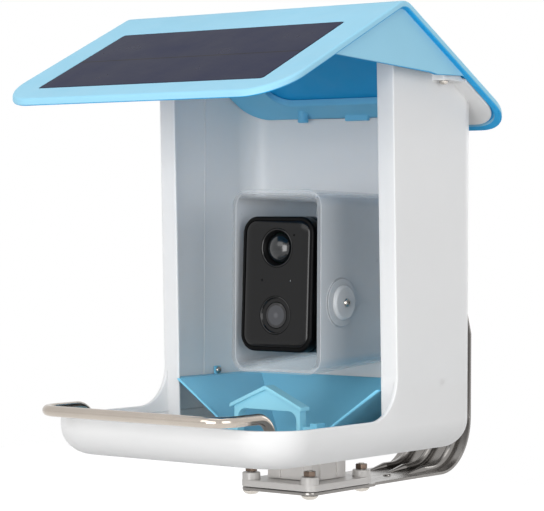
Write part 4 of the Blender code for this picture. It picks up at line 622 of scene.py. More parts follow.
def make_housing():
    below = SHEET + GAP
    top = APEX.z + FAR
    behind, before = REAR_Y + FAR, FRONT_Y - FAR
    profile = [(before, -0.1), (behind, -0.1), (behind, rear_z(behind, below)),
               (PANEL_HEAD_Y, rear_z(PANEL_HEAD_Y, below)), (PANEL_FOOT_Y, RIM_Z, 0.025), (before, RIM_Z)]
    house = shape(house_form("housing", 0, top),
                  ("common", prism("profile", "X", -PAST_SIDES, PAST_SIDES, profile, 16)))

    soffit = transformed(prism("soffit", "Z", -below - 0.0022, -below - GAP,
                               rectangle(-0.11, 0.11, 0, REAR_LENGTH)),
                         Matrix.Translation(APEX) @ Matrix.Rotation(-REAR_SLOPE, 4, "X"))
    plan = prism("plan", "Z", 0, APEX.z, rectangle(-0.1002, 0.1002, -0.128, -0.0835, 0, 0, 0.021, 0.021))
    shape(soffit, ("common", plan))
    lower = below + 2 * GAP
    ridge = APEX.y + (APEX.z - lower / math.cos(REAR_SLOPE) - 0.187) / math.tan(REAR_SLOPE)
    tab = [(-0.150, 0.1795), (-0.126, 0.1795), (-0.126, rear_z(-0.126, lower)), (ridge, 0.187), (-0.150, 0.187)]
    steps = [("join", soffit)]
    for side in SIDES:
        low, high = span(side, HALF - WALL / 2, HALF + 0.0085)
        steps.append(("join", prism("tab", "X", low, high, tab)))
    inner = [(before, -0.1), (behind, -0.1), (behind, top + FAR), (PANEL_HEAD_Y + WALL, top + FAR),
             (PANEL_FOOT_Y + WALL, RIM_Z - WALL, 0.028), (before, RIM_Z - WALL)]
    cavity = shape(house_form("cavity", WALL, top + FAR / 2),
                   ("common", prism("inner", "X", -PAST_SIDES, PAST_SIDES, inner, 16)))
    wide, narrow = HALF - WALL + GAP, HALF - 0.012
    low = RIM_Z - WALL * 1.5
    opening = prism("opening", "Y", FRONT_Y, -0.129, rectangle(-wide, wide, low, top))
    rim = 0.0035
    plan = prism("plan", "Z", low - FAR, top + FAR,
                 rectangle(-wide, wide, FRONT_Y + rim, -0.149, FRONT_RADIUS - rim, FRONT_RADIUS - rim, 0, 0))
    shape(cavity, ("join", shape(opening, ("common", plan))))
    # The posts' front faces run straight down behind the tray's sides
    lean = (PANEL_HEAD_Y - PANEL_FOOT_Y) / (rear_z(PANEL_HEAD_Y, below) - RIM_Z)
    foot, start, head = [(PANEL_FOOT_Y + lean * (z - RIM_Z), z) for z in (BASE_Z, RIM_Z + 0.024, top + FAR)]
    thick = 0.0018
    post = [(foot[0] + thick, foot[1]), foot, start, (head[0] - thick, head[1]), (head[0] + thick, head[1])]
    for side in SIDES:
        ends = span(side, narrow, HALF - WALL / 2)
        shape(cavity, ("cut", prism("post", "X", *ends, post)))
    steps.append(("cut", cavity))
    shape(house, *steps)
    soften(house, 0.0007, 3, 40)
    steps = []
    for side in SIDES:
        steps.append(("cut", rod("tab_hole", (side * TAB_X, TAB_Y, 0.16), "Z", BORE, 0.04, 24)))
        steps.append(("cut", rod("wall_hole", (side * 0.07, FUNNEL_SCREW_Y, FUNNEL_SCREW_Z), (side, 0, 0), BORE,
                                 0.01925, 20)))
        steps.append(("cut", rod("back_hole", (side * SLEEVE_SCREW_X, BACK_Y - 0.01, SLEEVE_SCREW_Z), "Y", BORE,
                                 0.01225, 20)))
        steps.append(("cut", turned("perch_hole", (side * PERCH_X, PERCH_Y, BASE_Z), "Z",
                                    [(0, -0.01), (0.0036, -0.01), (0.0036, 0), (0.0018, 0.0023), (0.0018, 0.01),
                                     (0, 0.01)], 24)))
    steps.append(("cut", turned("bolt_hole", (0, BLOCK_Y, FLOOR_Z), "-Z",
                                [(0, -0.01), (0.0054, -0.01), (0.0054, 0), (0.0028, 0.0027), (0.0028, 0.01),
                                 (0, 0.01)], 32)))
    steps.append(("cut", rod("grommet_hole", (GROMMET_X, BACK_Y - 0.01, GROMMET_Z), "Y", 0.0053, 0.03)))
    for x in (-0.066, -0.058):
        steps.append(("cut", block("rim_slit", (x - 0.0022, FRONT_Y - 0.01, -0.0352),
                                   (x + 0.0022, FRONT_Y + 0.0009, -0.0344))))
    shape(house, *steps)
    fit(house, "feeder", LOOKS["white"], "housing_white", "housing_shell", angle=30)


# Roof


def in_slope(name, side, half, top, foot, above, below, radius=0.0, steps=8):
    """A plate that lies in a slope, from top to foot down it, between two depths."""
    low, high = (top, foot) if side > 0 else (-foot, -top)
    made = prism(name, "Z", -below, -above, rectangle(-half, half, low, high, radius), steps)
    angle = -REAR_SLOPE if side > 0 else FRONT_SLOPE
    return transformed(made, Matrix.Translation(APEX) @ Matrix.Rotation(angle, 4, "X"))


def under_roof(name, below, half):
    """All that lies under the planes that far below both slopes."""
    front, rear = slope_point(-1, FRONT_LENGTH, below), slope_point(1, REAR_LENGTH, below)
    foot = APEX.z - REAR_LENGTH
    ridge = max(RIDGE_RADIUS - below, 0)
    return prism(name, "X", -half, half, [front, (front[0], foot), (rear[0], foot), rear, (*crest(below), ridge)], 12)


def make_roof():
    half = 0.105
    behind, before = REAR_LENGTH + FAR, FRONT_LENGTH + FAR
    drop = 0.0042
    ends = [slope_point(1, behind, 0), slope_point(1, behind, drop), (*crest(drop), RIDGE_RADIUS - drop),
            slope_point(-1, before, drop), slope_point(-1, before, 0), (APEX.y, APEX.z, RIDGE_RADIUS)]
    roof = prism("roof", "X", -half - FAR, half + FAR, ends, 12)
    front, rear = slope_point(-1, FRONT_LENGTH, 0)[0], slope_point(1, REAR_LENGTH, 0)[0]
    shape(roof, ("common", prism("plan", "Z", 0, APEX.z + FAR, rectangle(-half, half, front, rear, ROOF_RADIUS), 14)))
    soften(roof, 0.0014, 4, 40)
    inner = half - ROOF_LIP
    low = slope_point(-1, FRONT_LENGTH - ROOF_LIP, SHEET)[0]
    high = slope_point(1, REAR_LENGTH - ROOF_LIP, SHEET)[0]
    hollow = prism("hollow", "Z", 0, APEX.z, rectangle(-inner, inner, low, high, ROOF_RADIUS - ROOF_LIP), 14)
    shape(hollow, ("common", under_roof("underside", SHEET, half)))
    shape(roof, ("cut", hollow))

    gable = [(-0.271, 0.1878), (-0.169, 0.1829), (-0.1626, 0.1819), (-0.1294, 0.183),
             (-0.1294, rear_z(-0.1294, SHEET / 2)), (*crest(SHEET / 2), RIDGE_RADIUS - SHEET / 2),
             (-0.271, front_z(-0.271, SHEET / 2))]
    steps = []
    for side in SIDES:
        faces = span(side, 0.1017, 0.1017 - 0.0025)
        steps.append(("join", prism("gable", "X", *faces, gable, 12)))
    steps.append(("join", in_slope("pan", -1, 0.087, 0.032, 0.1245, SHEET / 2, 0.005, 0.003)))
    steps.append(("cut", in_slope("pocket", -1, 0.084, 0.035, 0.1215, -FAR, 0.0032, 0.002)))
    for side in SIDES:
        boss = rod("boss", (side * TAB_X, TAB_Y, 0.1873), "Z", 0.0036, FAR)
        shape(boss, ("common", under_roof("boss_top", SHEET / 2, half)))
        steps.append(("join", boss))
    shape(roof, *steps)
    soften(roof, 0.0005, 2, 45)
    steps = []
    normal = Vector((0, -math.sin(FRONT_SLOPE), math.cos(FRONT_SLOPE)))
    y, z = slope_point(-1, PANEL_DIVIDE, 0.005 + FAR)
    steps.append(("cut", rod("lead_hole", (0, y, z), normal, 0.003, 2 * FAR, 24)))
    for side in SIDES:
        steps.append(("cut", rod("bore", (side * TAB_X, TAB_Y, 0.16), "Z", BORE,
                                 rear_z(-0.1422, SHEET) - 0.16, 24)))
    shape(roof, *steps)
    fit(roof, "feeder", LOOKS["roof"], "roof_blue", "roof_shell", angle=30)


def make_liner():
    half, rear = HALF - WALL - 0.0004, BACK_Y - 0.0004
    below = SHEET + GAP
    thick = LINER
    top = in_slope("plug_ring", 1, half + FAR, 0, REAR_LENGTH, below, below + thick)
    plan = prism("plan", "Z", 0, APEX.z, rectangle(-half, half, -0.180, rear, 0, 0, INNER_CORNER, INNER_CORNER), 12)
    window = prism("window", "Z", 0, APEX.z, rectangle(-0.054, 0.054, -0.168, rear - 0.0145, 0.012), 12)
    shape(top, ("common", plan), ("cut", window))
    foot = rear_z(rear, below + thick) - 0.002
    steps = [("join", block("tab", (-0.009, rear - 0.0035, foot), (0.009, rear - GAP, foot + thick)))]
    for side in SIDES:
        reach = rear_z(-0.105, below + thick / 2) - 0.1588
        steps.append(("join", rod("peg", (side * 0.040, -0.105, 0.1588), "Z", 0.0035, reach)))
    shape(top, *steps)
    soften(top, 0.0008, 3, 40)
    up = Vector((0, math.sin(REAR_SLOPE), math.cos(REAR_SLOPE)))
    steps = []
    for side in SIDES:
        place = Vector((side * RING_SCREW_X, RING_SCREW_Y, rear_z(RING_SCREW_Y, below + thick)))
        steps.append(("cut", rod("hole", place - up * FAR, up, BORE, 2 * FAR, 24)))
    shape(top, *steps)
    fit(top, "feeder", LOOKS["liner"], "roof_blue", "roof_liner")


def make_solar():
    cover = in_slope("solar_film", -1, 0.0837, 0.0353, 0.1212, 0, 0.0009, 0.002)
    soften(cover, 0.0003, 2, 60)
    fit(cover, "feeder", LOOKS["solar"], "solar_dark", "solar_cover")
    under = 0.0053
    box = in_slope("lead_box", -1, 0.017, 0.0685, 0.0925, under, under + 0.007, 0.002)
    soften(box, 0.0008, 3, 60)
    uphill = Vector((0, math.cos(FRONT_SLOPE), math.sin(FRONT_SLOPE)))
    y, z = slope_point(-1, 0.0685, under + 0.0035)
    start = Vector((0, y, z)) - uphill * 0.002
    gland = turned("gland", start, uphill, [(0, 0), (0.003, 0), (0.003, 0.006), (0.0026, 0.0078),
                                            (0.0022, 0.008), (0, 0.008)], 32)
    bore = rod("bore", start - uphill * 0.004, uphill, BORE, 0.02, 24)
    shape(box, ("join", gland), ("cut", bore))
    fit(box, "feeder", LOOKS["black_grip"], "camera_matte", "solar_lead_box")


# Funnel, gate and perch


def make_funnel():
    thick, top = 0.0012, -0.006
    chute, mouth, chute_back = 0.026, 0.077, -0.149
    face = -0.188
    floor = FLOOR_Z + GAP + thick
    run = (mouth - chute) / (top - floor)
    back = (BACK_Y - 0.003 - chute_back) / (top - floor)
    wide, deep = thick * math.hypot(1, run), thick * math.hypot(1, back)
    foot = floor - thick

    def hopper(name, low, high, side_grow, back_grow, front):
        """A block between two levels whose sides and back follow the funnel's slopes."""
        made = block(name, (-1, -1, low), (1, 1, high))
        for v in made.data.vertices:
            z = low if v.co.z < (low + high) / 2 else high
            half = chute + run * (z - floor) + side_grow
            v.co.x = half if v.co.x > 0 else -half
            v.co.y = chute_back + back * (z - floor) + back_grow if v.co.y > 0 else front
        return made

    ramp = hopper("funnel", foot, top - thick / 2, wide, deep, -0.1877)
    half, rear = HALF - WALL - GAP, BACK_Y - GAP
    corners = (0, 0, INNER_CORNER, INNER_CORNER)
    ledge = prism("ledge", "Z", top - thick, top, rectangle(-half, half, -0.183, rear, *corners), 10)
    inside = prism("inside", "Z", foot - FAR, top + FAR,
                   rectangle(GAP - half, half - GAP, -0.2, rear - GAP, *corners), 10)
    shape(ramp, ("common", inside), ("join", ledge), ("cut", hopper("hollow", floor, top + FAR, 0, 0, -0.208)))
    rise = 0.0006 * math.hypot(1, run)
    middle = face - 0.004
    inner = 0.0253 + 0.010 - 0.0004 - 0.0016
    steps, cuts = [], []
    for side in SIDES:
        down = foot + thick / 2
        lip = [(side * (mouth + wide / 2), top), (side * (chute + wide / 2), down),
               (side * (chute - rise), down), (side * (mouth - rise), top)]
        steps.append(("join", prism("lip", "Y", face, face + 0.0022, lip)))
        xs = span(side, inner, inner + 0.005)
        steps.append(("join", block("guide", (xs[0], -0.196, foot), (xs[1], -0.1869, -0.028))))
        xs = span(side, inner - FAR, 0.0357)
        steps.append(("cut", block("slot", (xs[0], middle - 0.0011, foot - FAR), (xs[1], middle + 0.0011, 0.0))))
        xs = span(side, half - GAP - 0.0016, half - GAP)
        steps.append(("join", block("tab", (xs[0], -0.1397, top - thick / 2), (xs[1], -0.1343, -0.0009))))
        cuts.append(("cut", rod("hole", (side * 0.07, FUNNEL_SCREW_Y, FUNNEL_SCREW_Z), (side, 0, 0), BORE, 0.03,
                                24)))
    shape(ramp, *steps)
    soften(ramp, 0.0003, 2, 30)
    shape(ramp, *cuts)
    fit(ramp, "feeder", LOOKS["ramp"], "funnel_blue", "seed_ramp", angle=28)


def make_gate():
    foot = FLOOR_Z + GAP
    middle = -0.192
    front, rear = middle - 0.0035, middle + 0.0035
    half, eave, arch_half, tongue = 0.0253, 0.0275, 0.0225, 0.0353
    apex_z, eave_z, arch_z, tongue_z, thick = -0.0065, -0.0187, -0.0215, -0.0305, 0.0022
    slope = (apex_z - eave_z) / eave
    wall_top = eave_z + slope * (eave - half) - thick / 2
    body = [(-half, foot), (half, foot), (half, wall_top), (0, apex_z - thick / 2), (-half, wall_top)]
    gate = prism("gate", "Y", front, rear - GAP, body)
    drop = thick * math.hypot(1, slope)
    top = [(-eave, eave_z), (0, apex_z), (eave, eave_z), (eave, eave_z - drop), (0, apex_z - drop),
           (-eave, eave_z - drop)]
    arch = rectangle(-arch_half, arch_half, foot - FAR, arch_z, 0, 0, 0.006, 0.006)
    shape(gate, ("join", prism("eaves", "Y", rear - 0.0092, rear, top)),
          ("join", block("tongue", (-tongue, middle - 0.0007, foot + GAP), (tongue, middle + 0.0007, tongue_z))),
          ("cut", prism("arch", "Y", front - FAR, rear + FAR, arch, 10)))
    soften(gate, 0.0004, 3, 30)
    fit(gate, "gate", LOOKS["gate"], "funnel_blue", "house_gate", angle=28)


def make_perch():
    foot = FLOOR_Z + GAP
    right = [(PERCH_X, PERCH_Y, foot), (PERCH_X, PERCH_Y, -0.017), (PERCH_X, -0.326, -0.017)]
    left = [(-x, y, z) for x, y, z in right[::-1]]
    perch = bar("perch", right + left, 0.0032, 0.0125, 32)
    soften(perch, 0.0004, 2, 60)
    steps = [("cut", rod("bore", (side * PERCH_X, PERCH_Y, foot - 0.01), "Z", 0.0019, 0.019, 24)) for side in SIDES]
    shape(perch, *steps)
    fit(perch, "feeder", LOOKS["perch"], "bare_steel", "perch_bar", angle=40)


# Sleeve and camera


def tunnel(name, inset, front, rear):
    """The sleeve's rounded form, whose foot rises and whose head drops a little towards the rear."""
    half, low, high = SLEEVE_HALF - inset, SLEEVE_FOOT_Z + inset, SLEEVE_HEAD_Z - inset
    made = prism(name, "Y", front, rear, rectangle(-half, half, low, high, max(0.0105 - inset, 0.003)), 12)
    for v in made.data.vertices:
        back = (v.co.y - SLEEVE_FRONT_Y) / (BACK_Y - SLEEVE_FRONT_Y)
        up = (v.co.z - SLEEVE_FOOT_Z) / (SLEEVE_HEAD_Z - SLEEVE_FOOT_Z)
        v.co.z += back * (0.005 * (1 - up) - 0.002 * up)
    return made


def make_sleeve():
    rear = BACK_Y - GAP
    sleeve = tunnel("sleeve", 0, SLEEVE_FRONT_Y, rear)
    pads = [("join", rod("pad", (side * 0.0328, PIVOT.y, PIVOT.z), (side, 0, 0), 0.015, 0.003, 48)) for side in SIDES]
    shape(sleeve, *pads, ("cut", tunnel("hollow", CLEAR_WALL, -0.205, rear - CLEAR_WALL)),
          ("cut", tunnel("window", 0.0115, rear - FAR, rear + FAR)))
    soften(sleeve, 0.0007, 3, 50)
    steps = [("cut", rod("pivot_hole", (-0.09, PIVOT.y, PIVOT.z), "X", 0.002, 0.18, 24))]
    for side in SIDES:
        steps.append(("cut", rod("hole", (side * SLEEVE_SCREW_X, BACK_Y - FAR, SLEEVE_SCREW_Z), "Y", BORE, 2 * FAR,
                                 24)))
    shape(sleeve, *steps)
    fit(sleeve, "feeder", LOOKS["sleeve"], "clear_plastic", "camera_sleeve")


def case_outline(inset):
    half, radius = CASE_HALF - inset, max(0.0105 - inset, 0.0018)
    return rectangle(-half, half, CASE_FOOT_Z + inset, CASE_HEAD_Z - inset, radius)


def face_holes(front):
    """The cuts for the two eyes and the pins, through what lies at the camera's front."""
    eyes = (("pir_hole", PIR_Z, 0.01225), ("lens_hole", LENS_Z, 0.012))
    cuts = [("cut", rod(name, (0, front - FAR, z), "Y", radius, 2 * FAR, 64)) for name, z, radius in eyes]
    return cuts + [("cut", rod("pin", (x, front - FAR, z), "Y", 0.0006, 2 * FAR, 16)) for x, z in PIN_SPOTS]


def make_camera():
    front, seam = CAMERA_FRONT_Y, CAMERA_FRONT_Y + FRONT_DEPTH
    shell = soften(prism("front_case", "Y", front + 0.0007, seam, case_outline(0), 12), 0.0014, 4, 60,
                   lambda p: p.y < front + 0.001)
    steps = [("cut", prism("seat", "Y", front - FAR, front + 0.0017, case_outline(0.0024), 12)),
             ("cut", prism("hollow", "Y", front + 0.0035, seam + FAR, case_outline(CASE_WALL), 12))]
    shape(shell, *steps, *face_holes(front))
    fit(transformed(shell, TILT), "camera", LOOKS["satin"], "camera_matte", "camera_front_case")

    rear = prism("rear_case", "Y", seam + SEAL, CAMERA_REAR_Y, case_outline(0), 12)
    soften(rear, 0.0014, 4, 60)
    steps = [("cut", prism("hollow", "Y", seam - FAR, CAMERA_REAR_Y - CASE_WALL, case_outline(CASE_WALL), 12))]
    boss_front = front + 0.0133 + 0.0014 + GAP
    for x, z in CASE_SCREW_SPOTS:
        steps.append(("join", rod("boss", (x, boss_front, z), "Y", 0.0026, CAMERA_REAR_Y - 0.0009 - boss_front, 24)))
    for x, z in CASE_SCREW_SPOTS:
        steps.append(("cut", turned("bore", (x, CAMERA_REAR_Y, z), "-Y",
                                    [(0, -0.01), (0.0028, -0.01), (0.0028, 0), (0.0015, 0.002), (0.0015, 0.012),
                                     (0, 0.012)], 24)))
    for side in SIDES:
        steps.append(("cut", rod("pivot", (side * 0.0249, PIVOT.y, PIVOT.z), (side, 0, 0), 0.0019, 0.02, 24)))
    steps.append(("cut", rod("button_hole", (0, BUTTON_Y, 0.0865), "Z", 0.0039, 0.02)))
    steps.append(("cut", block("port", (-0.0039, CAMERA_REAR_Y - 0.01, 0.0232),
                               (0.0039, CAMERA_REAR_Y + 0.02, 0.0258))))
    shape(rear, *steps)
    fit(transformed(rear, TILT), "camera", LOOKS["satin"], "camera_matte", "camera_rear_case")

    face = prism("face", "Y", front, front + FACE_THICK, case_outline(0.0027), 12)
    pillow(face, 0.0065, 0.0012)
    shape(face, *face_holes(front))
    fit(transformed(face, TILT), "camera", LOOKS["gloss"], "camera_gloss", "camera_faceplate")

    for name, z, outer, throat, deep, lip in (("pir_ring", PIR_Z, 0.01195, 0.0093, 0.0036, 0.0002),
                                              ("lens_ring", LENS_Z, 0.0117, 0.0081, 0.0013, 0.0010)):
        rim = [(outer, 0.0001), (outer, 0.0043), (throat, 0.0043), (throat, deep), (throat + 0.0002, deep - 0.0002),
               (outer - 0.0008 - lip / 2, lip), (outer - 0.0007, 0.0001), (outer - 0.0004, 0)]
        made = turned(name + "_dish", (0, front, z), "Y", rim, 96, closed=True)
        fit(transformed(made, TILT), "camera", LOOKS["gloss"], "camera_gloss", name)
    base, turns = 0.0043, [math.pi / 2 * i / 14 for i in range(15)]
    outer = [(0.009 * math.sin(t), base - (base + 0.0006) * math.cos(t)) for t in turns]
    inner = [(0.0083 * math.sin(t), base - (base - 0.0001) * math.cos(t)) for t in turns]
    dome = turned("dome", (0, front, PIR_Z), "Y", outer + inner[::-1], 96)
    fit(transformed(dome, TILT), "camera", LOOKS["dome"], "smoked_lens", "pir_dome")
    arc = [(0.0078 * i / 10, 0.0006 + 0.0005 * (i / 10) ** 2) for i in range(11)]
    glass = turned("objective", (0, front, LENS_Z), "Y", arc + [(0.0078, 0.0045), (0, 0.0045)], 96)
    fit(transformed(glass, TILT), "camera", LOOKS["glass"], "dark_glass", "lens_glass")

    stem = 0.003
    head = CASE_HEAD_Z - CASE_WALL - GAP - PRESS - stem
    cap = CASE_WALL + stem + GAP + PRESS + 0.0012
    button = turned("power_button_cap", (0, BUTTON_Y, head), "Z",
                    [(0, 0), (0.0018, 0), (0.0018, 0.0024), (0.005, 0.0024), (0.005, 0.0038), (0.0036, 0.0038),
                     (0.0036, cap - 0.0005), (0.0034, cap - 0.00015), (0.003, cap), (0.0022, cap - 0.0002),
                     (0, cap - 0.0003)], 48)
    fit(transformed(button, TILT), "button", LOOKS["black_grip"], "camera_matte", "power_button")
    y = CAMERA_REAR_Y + GAP
    cover = prism("port_flap_cover", "Y", y, y + 0.0016, rectangle(-0.011, 0.011, 0.019, 0.030, 0.0022), 8)
    soften(cover, 0.0004, 3, 60, lambda p: p.y > y + 0.001)
    fit(transformed(cover, TILT), "port_flap", LOOKS["black_grip"], "black_rubber", "port_cover")


# Mount


def make_mount():
    side, out, half = 0.01755, 0.01875, 0.002
    high = BASE_Z - GAP
    low = high - BLOCK_HEIGHT
    block_piece = block("block", (-side, BLOCK_Y - side, low), (side, BLOCK_Y + side, high))
    steps = []
    for at in (-0.009, 0.009):
        for ends in (((at - half, BLOCK_Y - out), (at + half, BLOCK_Y + out)),
                     ((-out, BLOCK_Y + at - half), (out, BLOCK_Y + at + half))):
            steps.append(("join", block("rib", (*ends[0], low + 0.001), (*ends[1], high - 0.001))))
    shape(block_piece, *steps)
    soften(block_piece, 0.0003, 2, 60)
    shape(block_piece, ("cut", rod("bore", (0, BLOCK_Y, low - FAR), "Z", 0.0028, 0.06)))
    fit(block_piece, "feeder", LOOKS["block"], "mount_plastic", "mount_block")

    top = BASE_Z - BLOCK_HEIGHT - 2 * GAP
    foot = top - PLATE_THICK
    plate = prism("plate", "Z", foot, top,
                  rectangle(-0.02865, 0.02865, BLOCK_Y - 0.03335, BLOCK_Y + 0.03335, 0.006), 10)
    soften(plate, 0.0007, 3, 60)
    rise = [(0, 0), (0.0057, 0), (0.0057, 0.0060), (0.00555, 0.0065), (0.0051, 0.0067), (0, 0.0067)]
    shape(plate, *[("join", turned("boss", (x, y, foot + 0.0022), "Z", rise, 40)) for x, y in BOLT_SPOTS])
    cuts = [("cut", rod("hole", (x, y, foot - FAR), "Z", BOLT_BORE, 2 * FAR)) for x, y in BOLT_SPOTS]
    cuts.append(("cut", rod("centre", (0, BLOCK_Y, foot - FAR), "Z", 0.0028, 2 * FAR)))
    pocket = turned("pocket", (0, BLOCK_Y, foot - FAR), "Z", [(0, 0), (0.0052, 0), (0.0052, FAR + 0.0034),
                                                              (0, FAR + 0.0034)], 6)
    shape(plate, *cuts, ("cut", pocket))
    fit(plate, "feeder", LOOKS["mount"], "mount_plastic", "mount_plate")

    arm_top = foot - GAP
    arm = arm_top - 0.002
    bolt_head = arm - GAP
    seat = top + 0.0045 + GAP
    nut_height, nut_radius = 0.0032, 0.0040
    tip = seat + nut_height + 0.0006
    for end, sy in (("front", -1), ("rear", 1)):
        for name, sx in (("left", -1), ("right", 1)):
            x, y = sx * BOLT_X, BLOCK_Y + sy * BOLT_RUN
            which = end + "_" + name
            dome = [(0, -0.0026), (0.0018, -0.00255), (0.0034, -0.0021), (0.0046, -0.0013), (0.0052, -0.0004),
                    (0.0053, 0), (0.0020, 0), (0.0020, tip - bolt_head - 0.0004), (0.0016, tip - bolt_head),
                    (0, tip - bolt_head)]
            bolt = turned("bolt_" + which, (x, y, bolt_head), "Z", dome, 48)
            socket = turned("socket", (x, y, bolt_head - 0.003), "Z", [(0, 0), (0.0017, 0), (0.0017, 0.0019),
                                                                       (0, 0.0024)], 6)
            shape(bolt, ("cut", socket))
            fit(bolt, "feeder", LOOKS["fixing"], "fixings", "mount_bolt_" + which)
            nut = turned("nut", (x, y, seat), "Z", [(0, 0), (nut_radius, 0), (nut_radius, nut_height),
                                                        (0, nut_height)], 6)
            soften(nut, 0.0003, 2, 50)
            shape(nut, ("cut", rod("bore", (x, y, seat - FAR), "Z", BOLT_BORE, 2 * FAR)))
            nut.name = "nut_" + which
            fit(nut, "feeder", LOOKS["nut"], "fixings", "mount_nut_" + which, angle=25)
    return arm, arm_top


def make_bracket(low, high):
    bend, thick = 0.036, high - low
    head_z = 0.0375
    front = -0.187 - FAR
    side = [(front, low), (0, low, bend), (0, head_z + FAR), (-thick, head_z + FAR), (-thick, high, bend - thick),
            (front, high)]
    wide, half = 0.02825, 0.025
    bracket = prism("bracket", "X", -wide - FAR, wide + FAR, side, 24)
    plan = [(-wide, -0.187, 0.006), (wide, -0.187, 0.006), (wide, -0.119), (half, -0.113), (half, FAR),
            (-half, FAR), (-half, -0.113), (-wide, -0.119)]
    past = wide + FAR
    outline = [(-past, low - FAR), (past, low - FAR), (past, 0), (half + 0.004, 0), (half - 0.004, head_z, 0.006),
               (-half + 0.004, head_z, 0.006), (-half - 0.004, 0), (-past, 0)]
    shape(bracket, ("common", prism("plan", "Z", low - FAR, head_z + 2 * FAR, plan, 8)),
          ("common", prism("outline", "Y", -0.2, 0.02, outline, 8)))
    soften(bracket, 0.0004, 2, 50)
    radius = bend - 0.0029 - GAP
    centre_y, centre_z = -bend, low + bend
    steps = []
    for x in (-0.0155, 0, 0.0155):
        deep = radius + 0.0018
        path = [(x, centre_y - 0.030, centre_z - deep), (x, centre_y - 0.008, centre_z - radius),
                (x, centre_y + radius, centre_z - radius), (x, centre_y + radius, centre_z + 0.008),
                (x, centre_y + deep, centre_z + 0.030)]
        rib = bar("rib", path, 0.0029, radius, 24, 0.15)
        steps.append(("join", rib))
    for x, y in BOLT_SPOTS:
        steps.append(("cut", rod("hole", (x, y, low - FAR), "Z", BOLT_BORE, 2 * FAR)))
    for x in (-WALL_HOLE_X, WALL_HOLE_X):
        for z in (-WALL_HOLE_Z, WALL_HOLE_Z):
            steps.append(("cut", rod("hole", (x, -FAR, z), "Y", 0.00275, 2 * FAR)))
    for x in (-0.0095, 0.0095):
        rivet = turned("rivet", (x, -0.078, high - GAP), "Z", [(0, -0.001), (0.0015, -0.001), (0.0015, 0), (0.0028, 0),
                                                               (0.0026, 0.0009), (0.0017, 0.0014), (0, 0.0016)], 32)
        steps.append(("join", rivet))
    shape(bracket, *steps)
    fit(bracket, "feeder", LOOKS["bracket"], "bare_steel", "wall_bracket", angle=30)


# Small fixings


def cross_recess(made, stand, reach, half, low, high, start):
    """Cuts a cross, turned by its start angle, into a head that stands at a matrix."""
    steps = []
    for quarter in (0, 1):
        arm = block("slot", (-reach, -half, low), (reach, half, high))
        steps.append(("cut", transformed(arm, stand @ Matrix.Rotation(math.pi / 2 * quarter + start, 4, "Z"))))
    shape(made, *steps)


def screw(name, place, axis, shank, length, head, height, node, body="feeder", look="fixing", tilt=False):
    """A domed screw with a cross recess. The head's underside is at its place; the shank runs along the axis."""
    profile = [(0, -height), (head * 0.35, -height * 0.97), (head * 0.65, -height * 0.82), (head * 0.88, -height * 0.5),
               (head, -height * 0.12), (head, 0), (shank, 0), (shank, length - shank * 0.4), (shank * 0.6, length),
               (0, length)]
    made = turned(name, place, axis, profile, 40)
    direction = TURNS[axis].to_3x3() @ Vector((0, 0, 1)) if isinstance(axis, str) else Vector(axis)
    turn = direction.to_track_quat("Z", "Y").to_matrix().to_4x4()
    cross_recess(made, Matrix.Translation(place) @ turn, head * 0.55, head * 0.11, -height * 1.3, -height * 0.35, 0.5)
    if tilt:
        transformed(made, TILT)
    return fit(made, body, LOOKS[look], "fixings", node, angle=40)


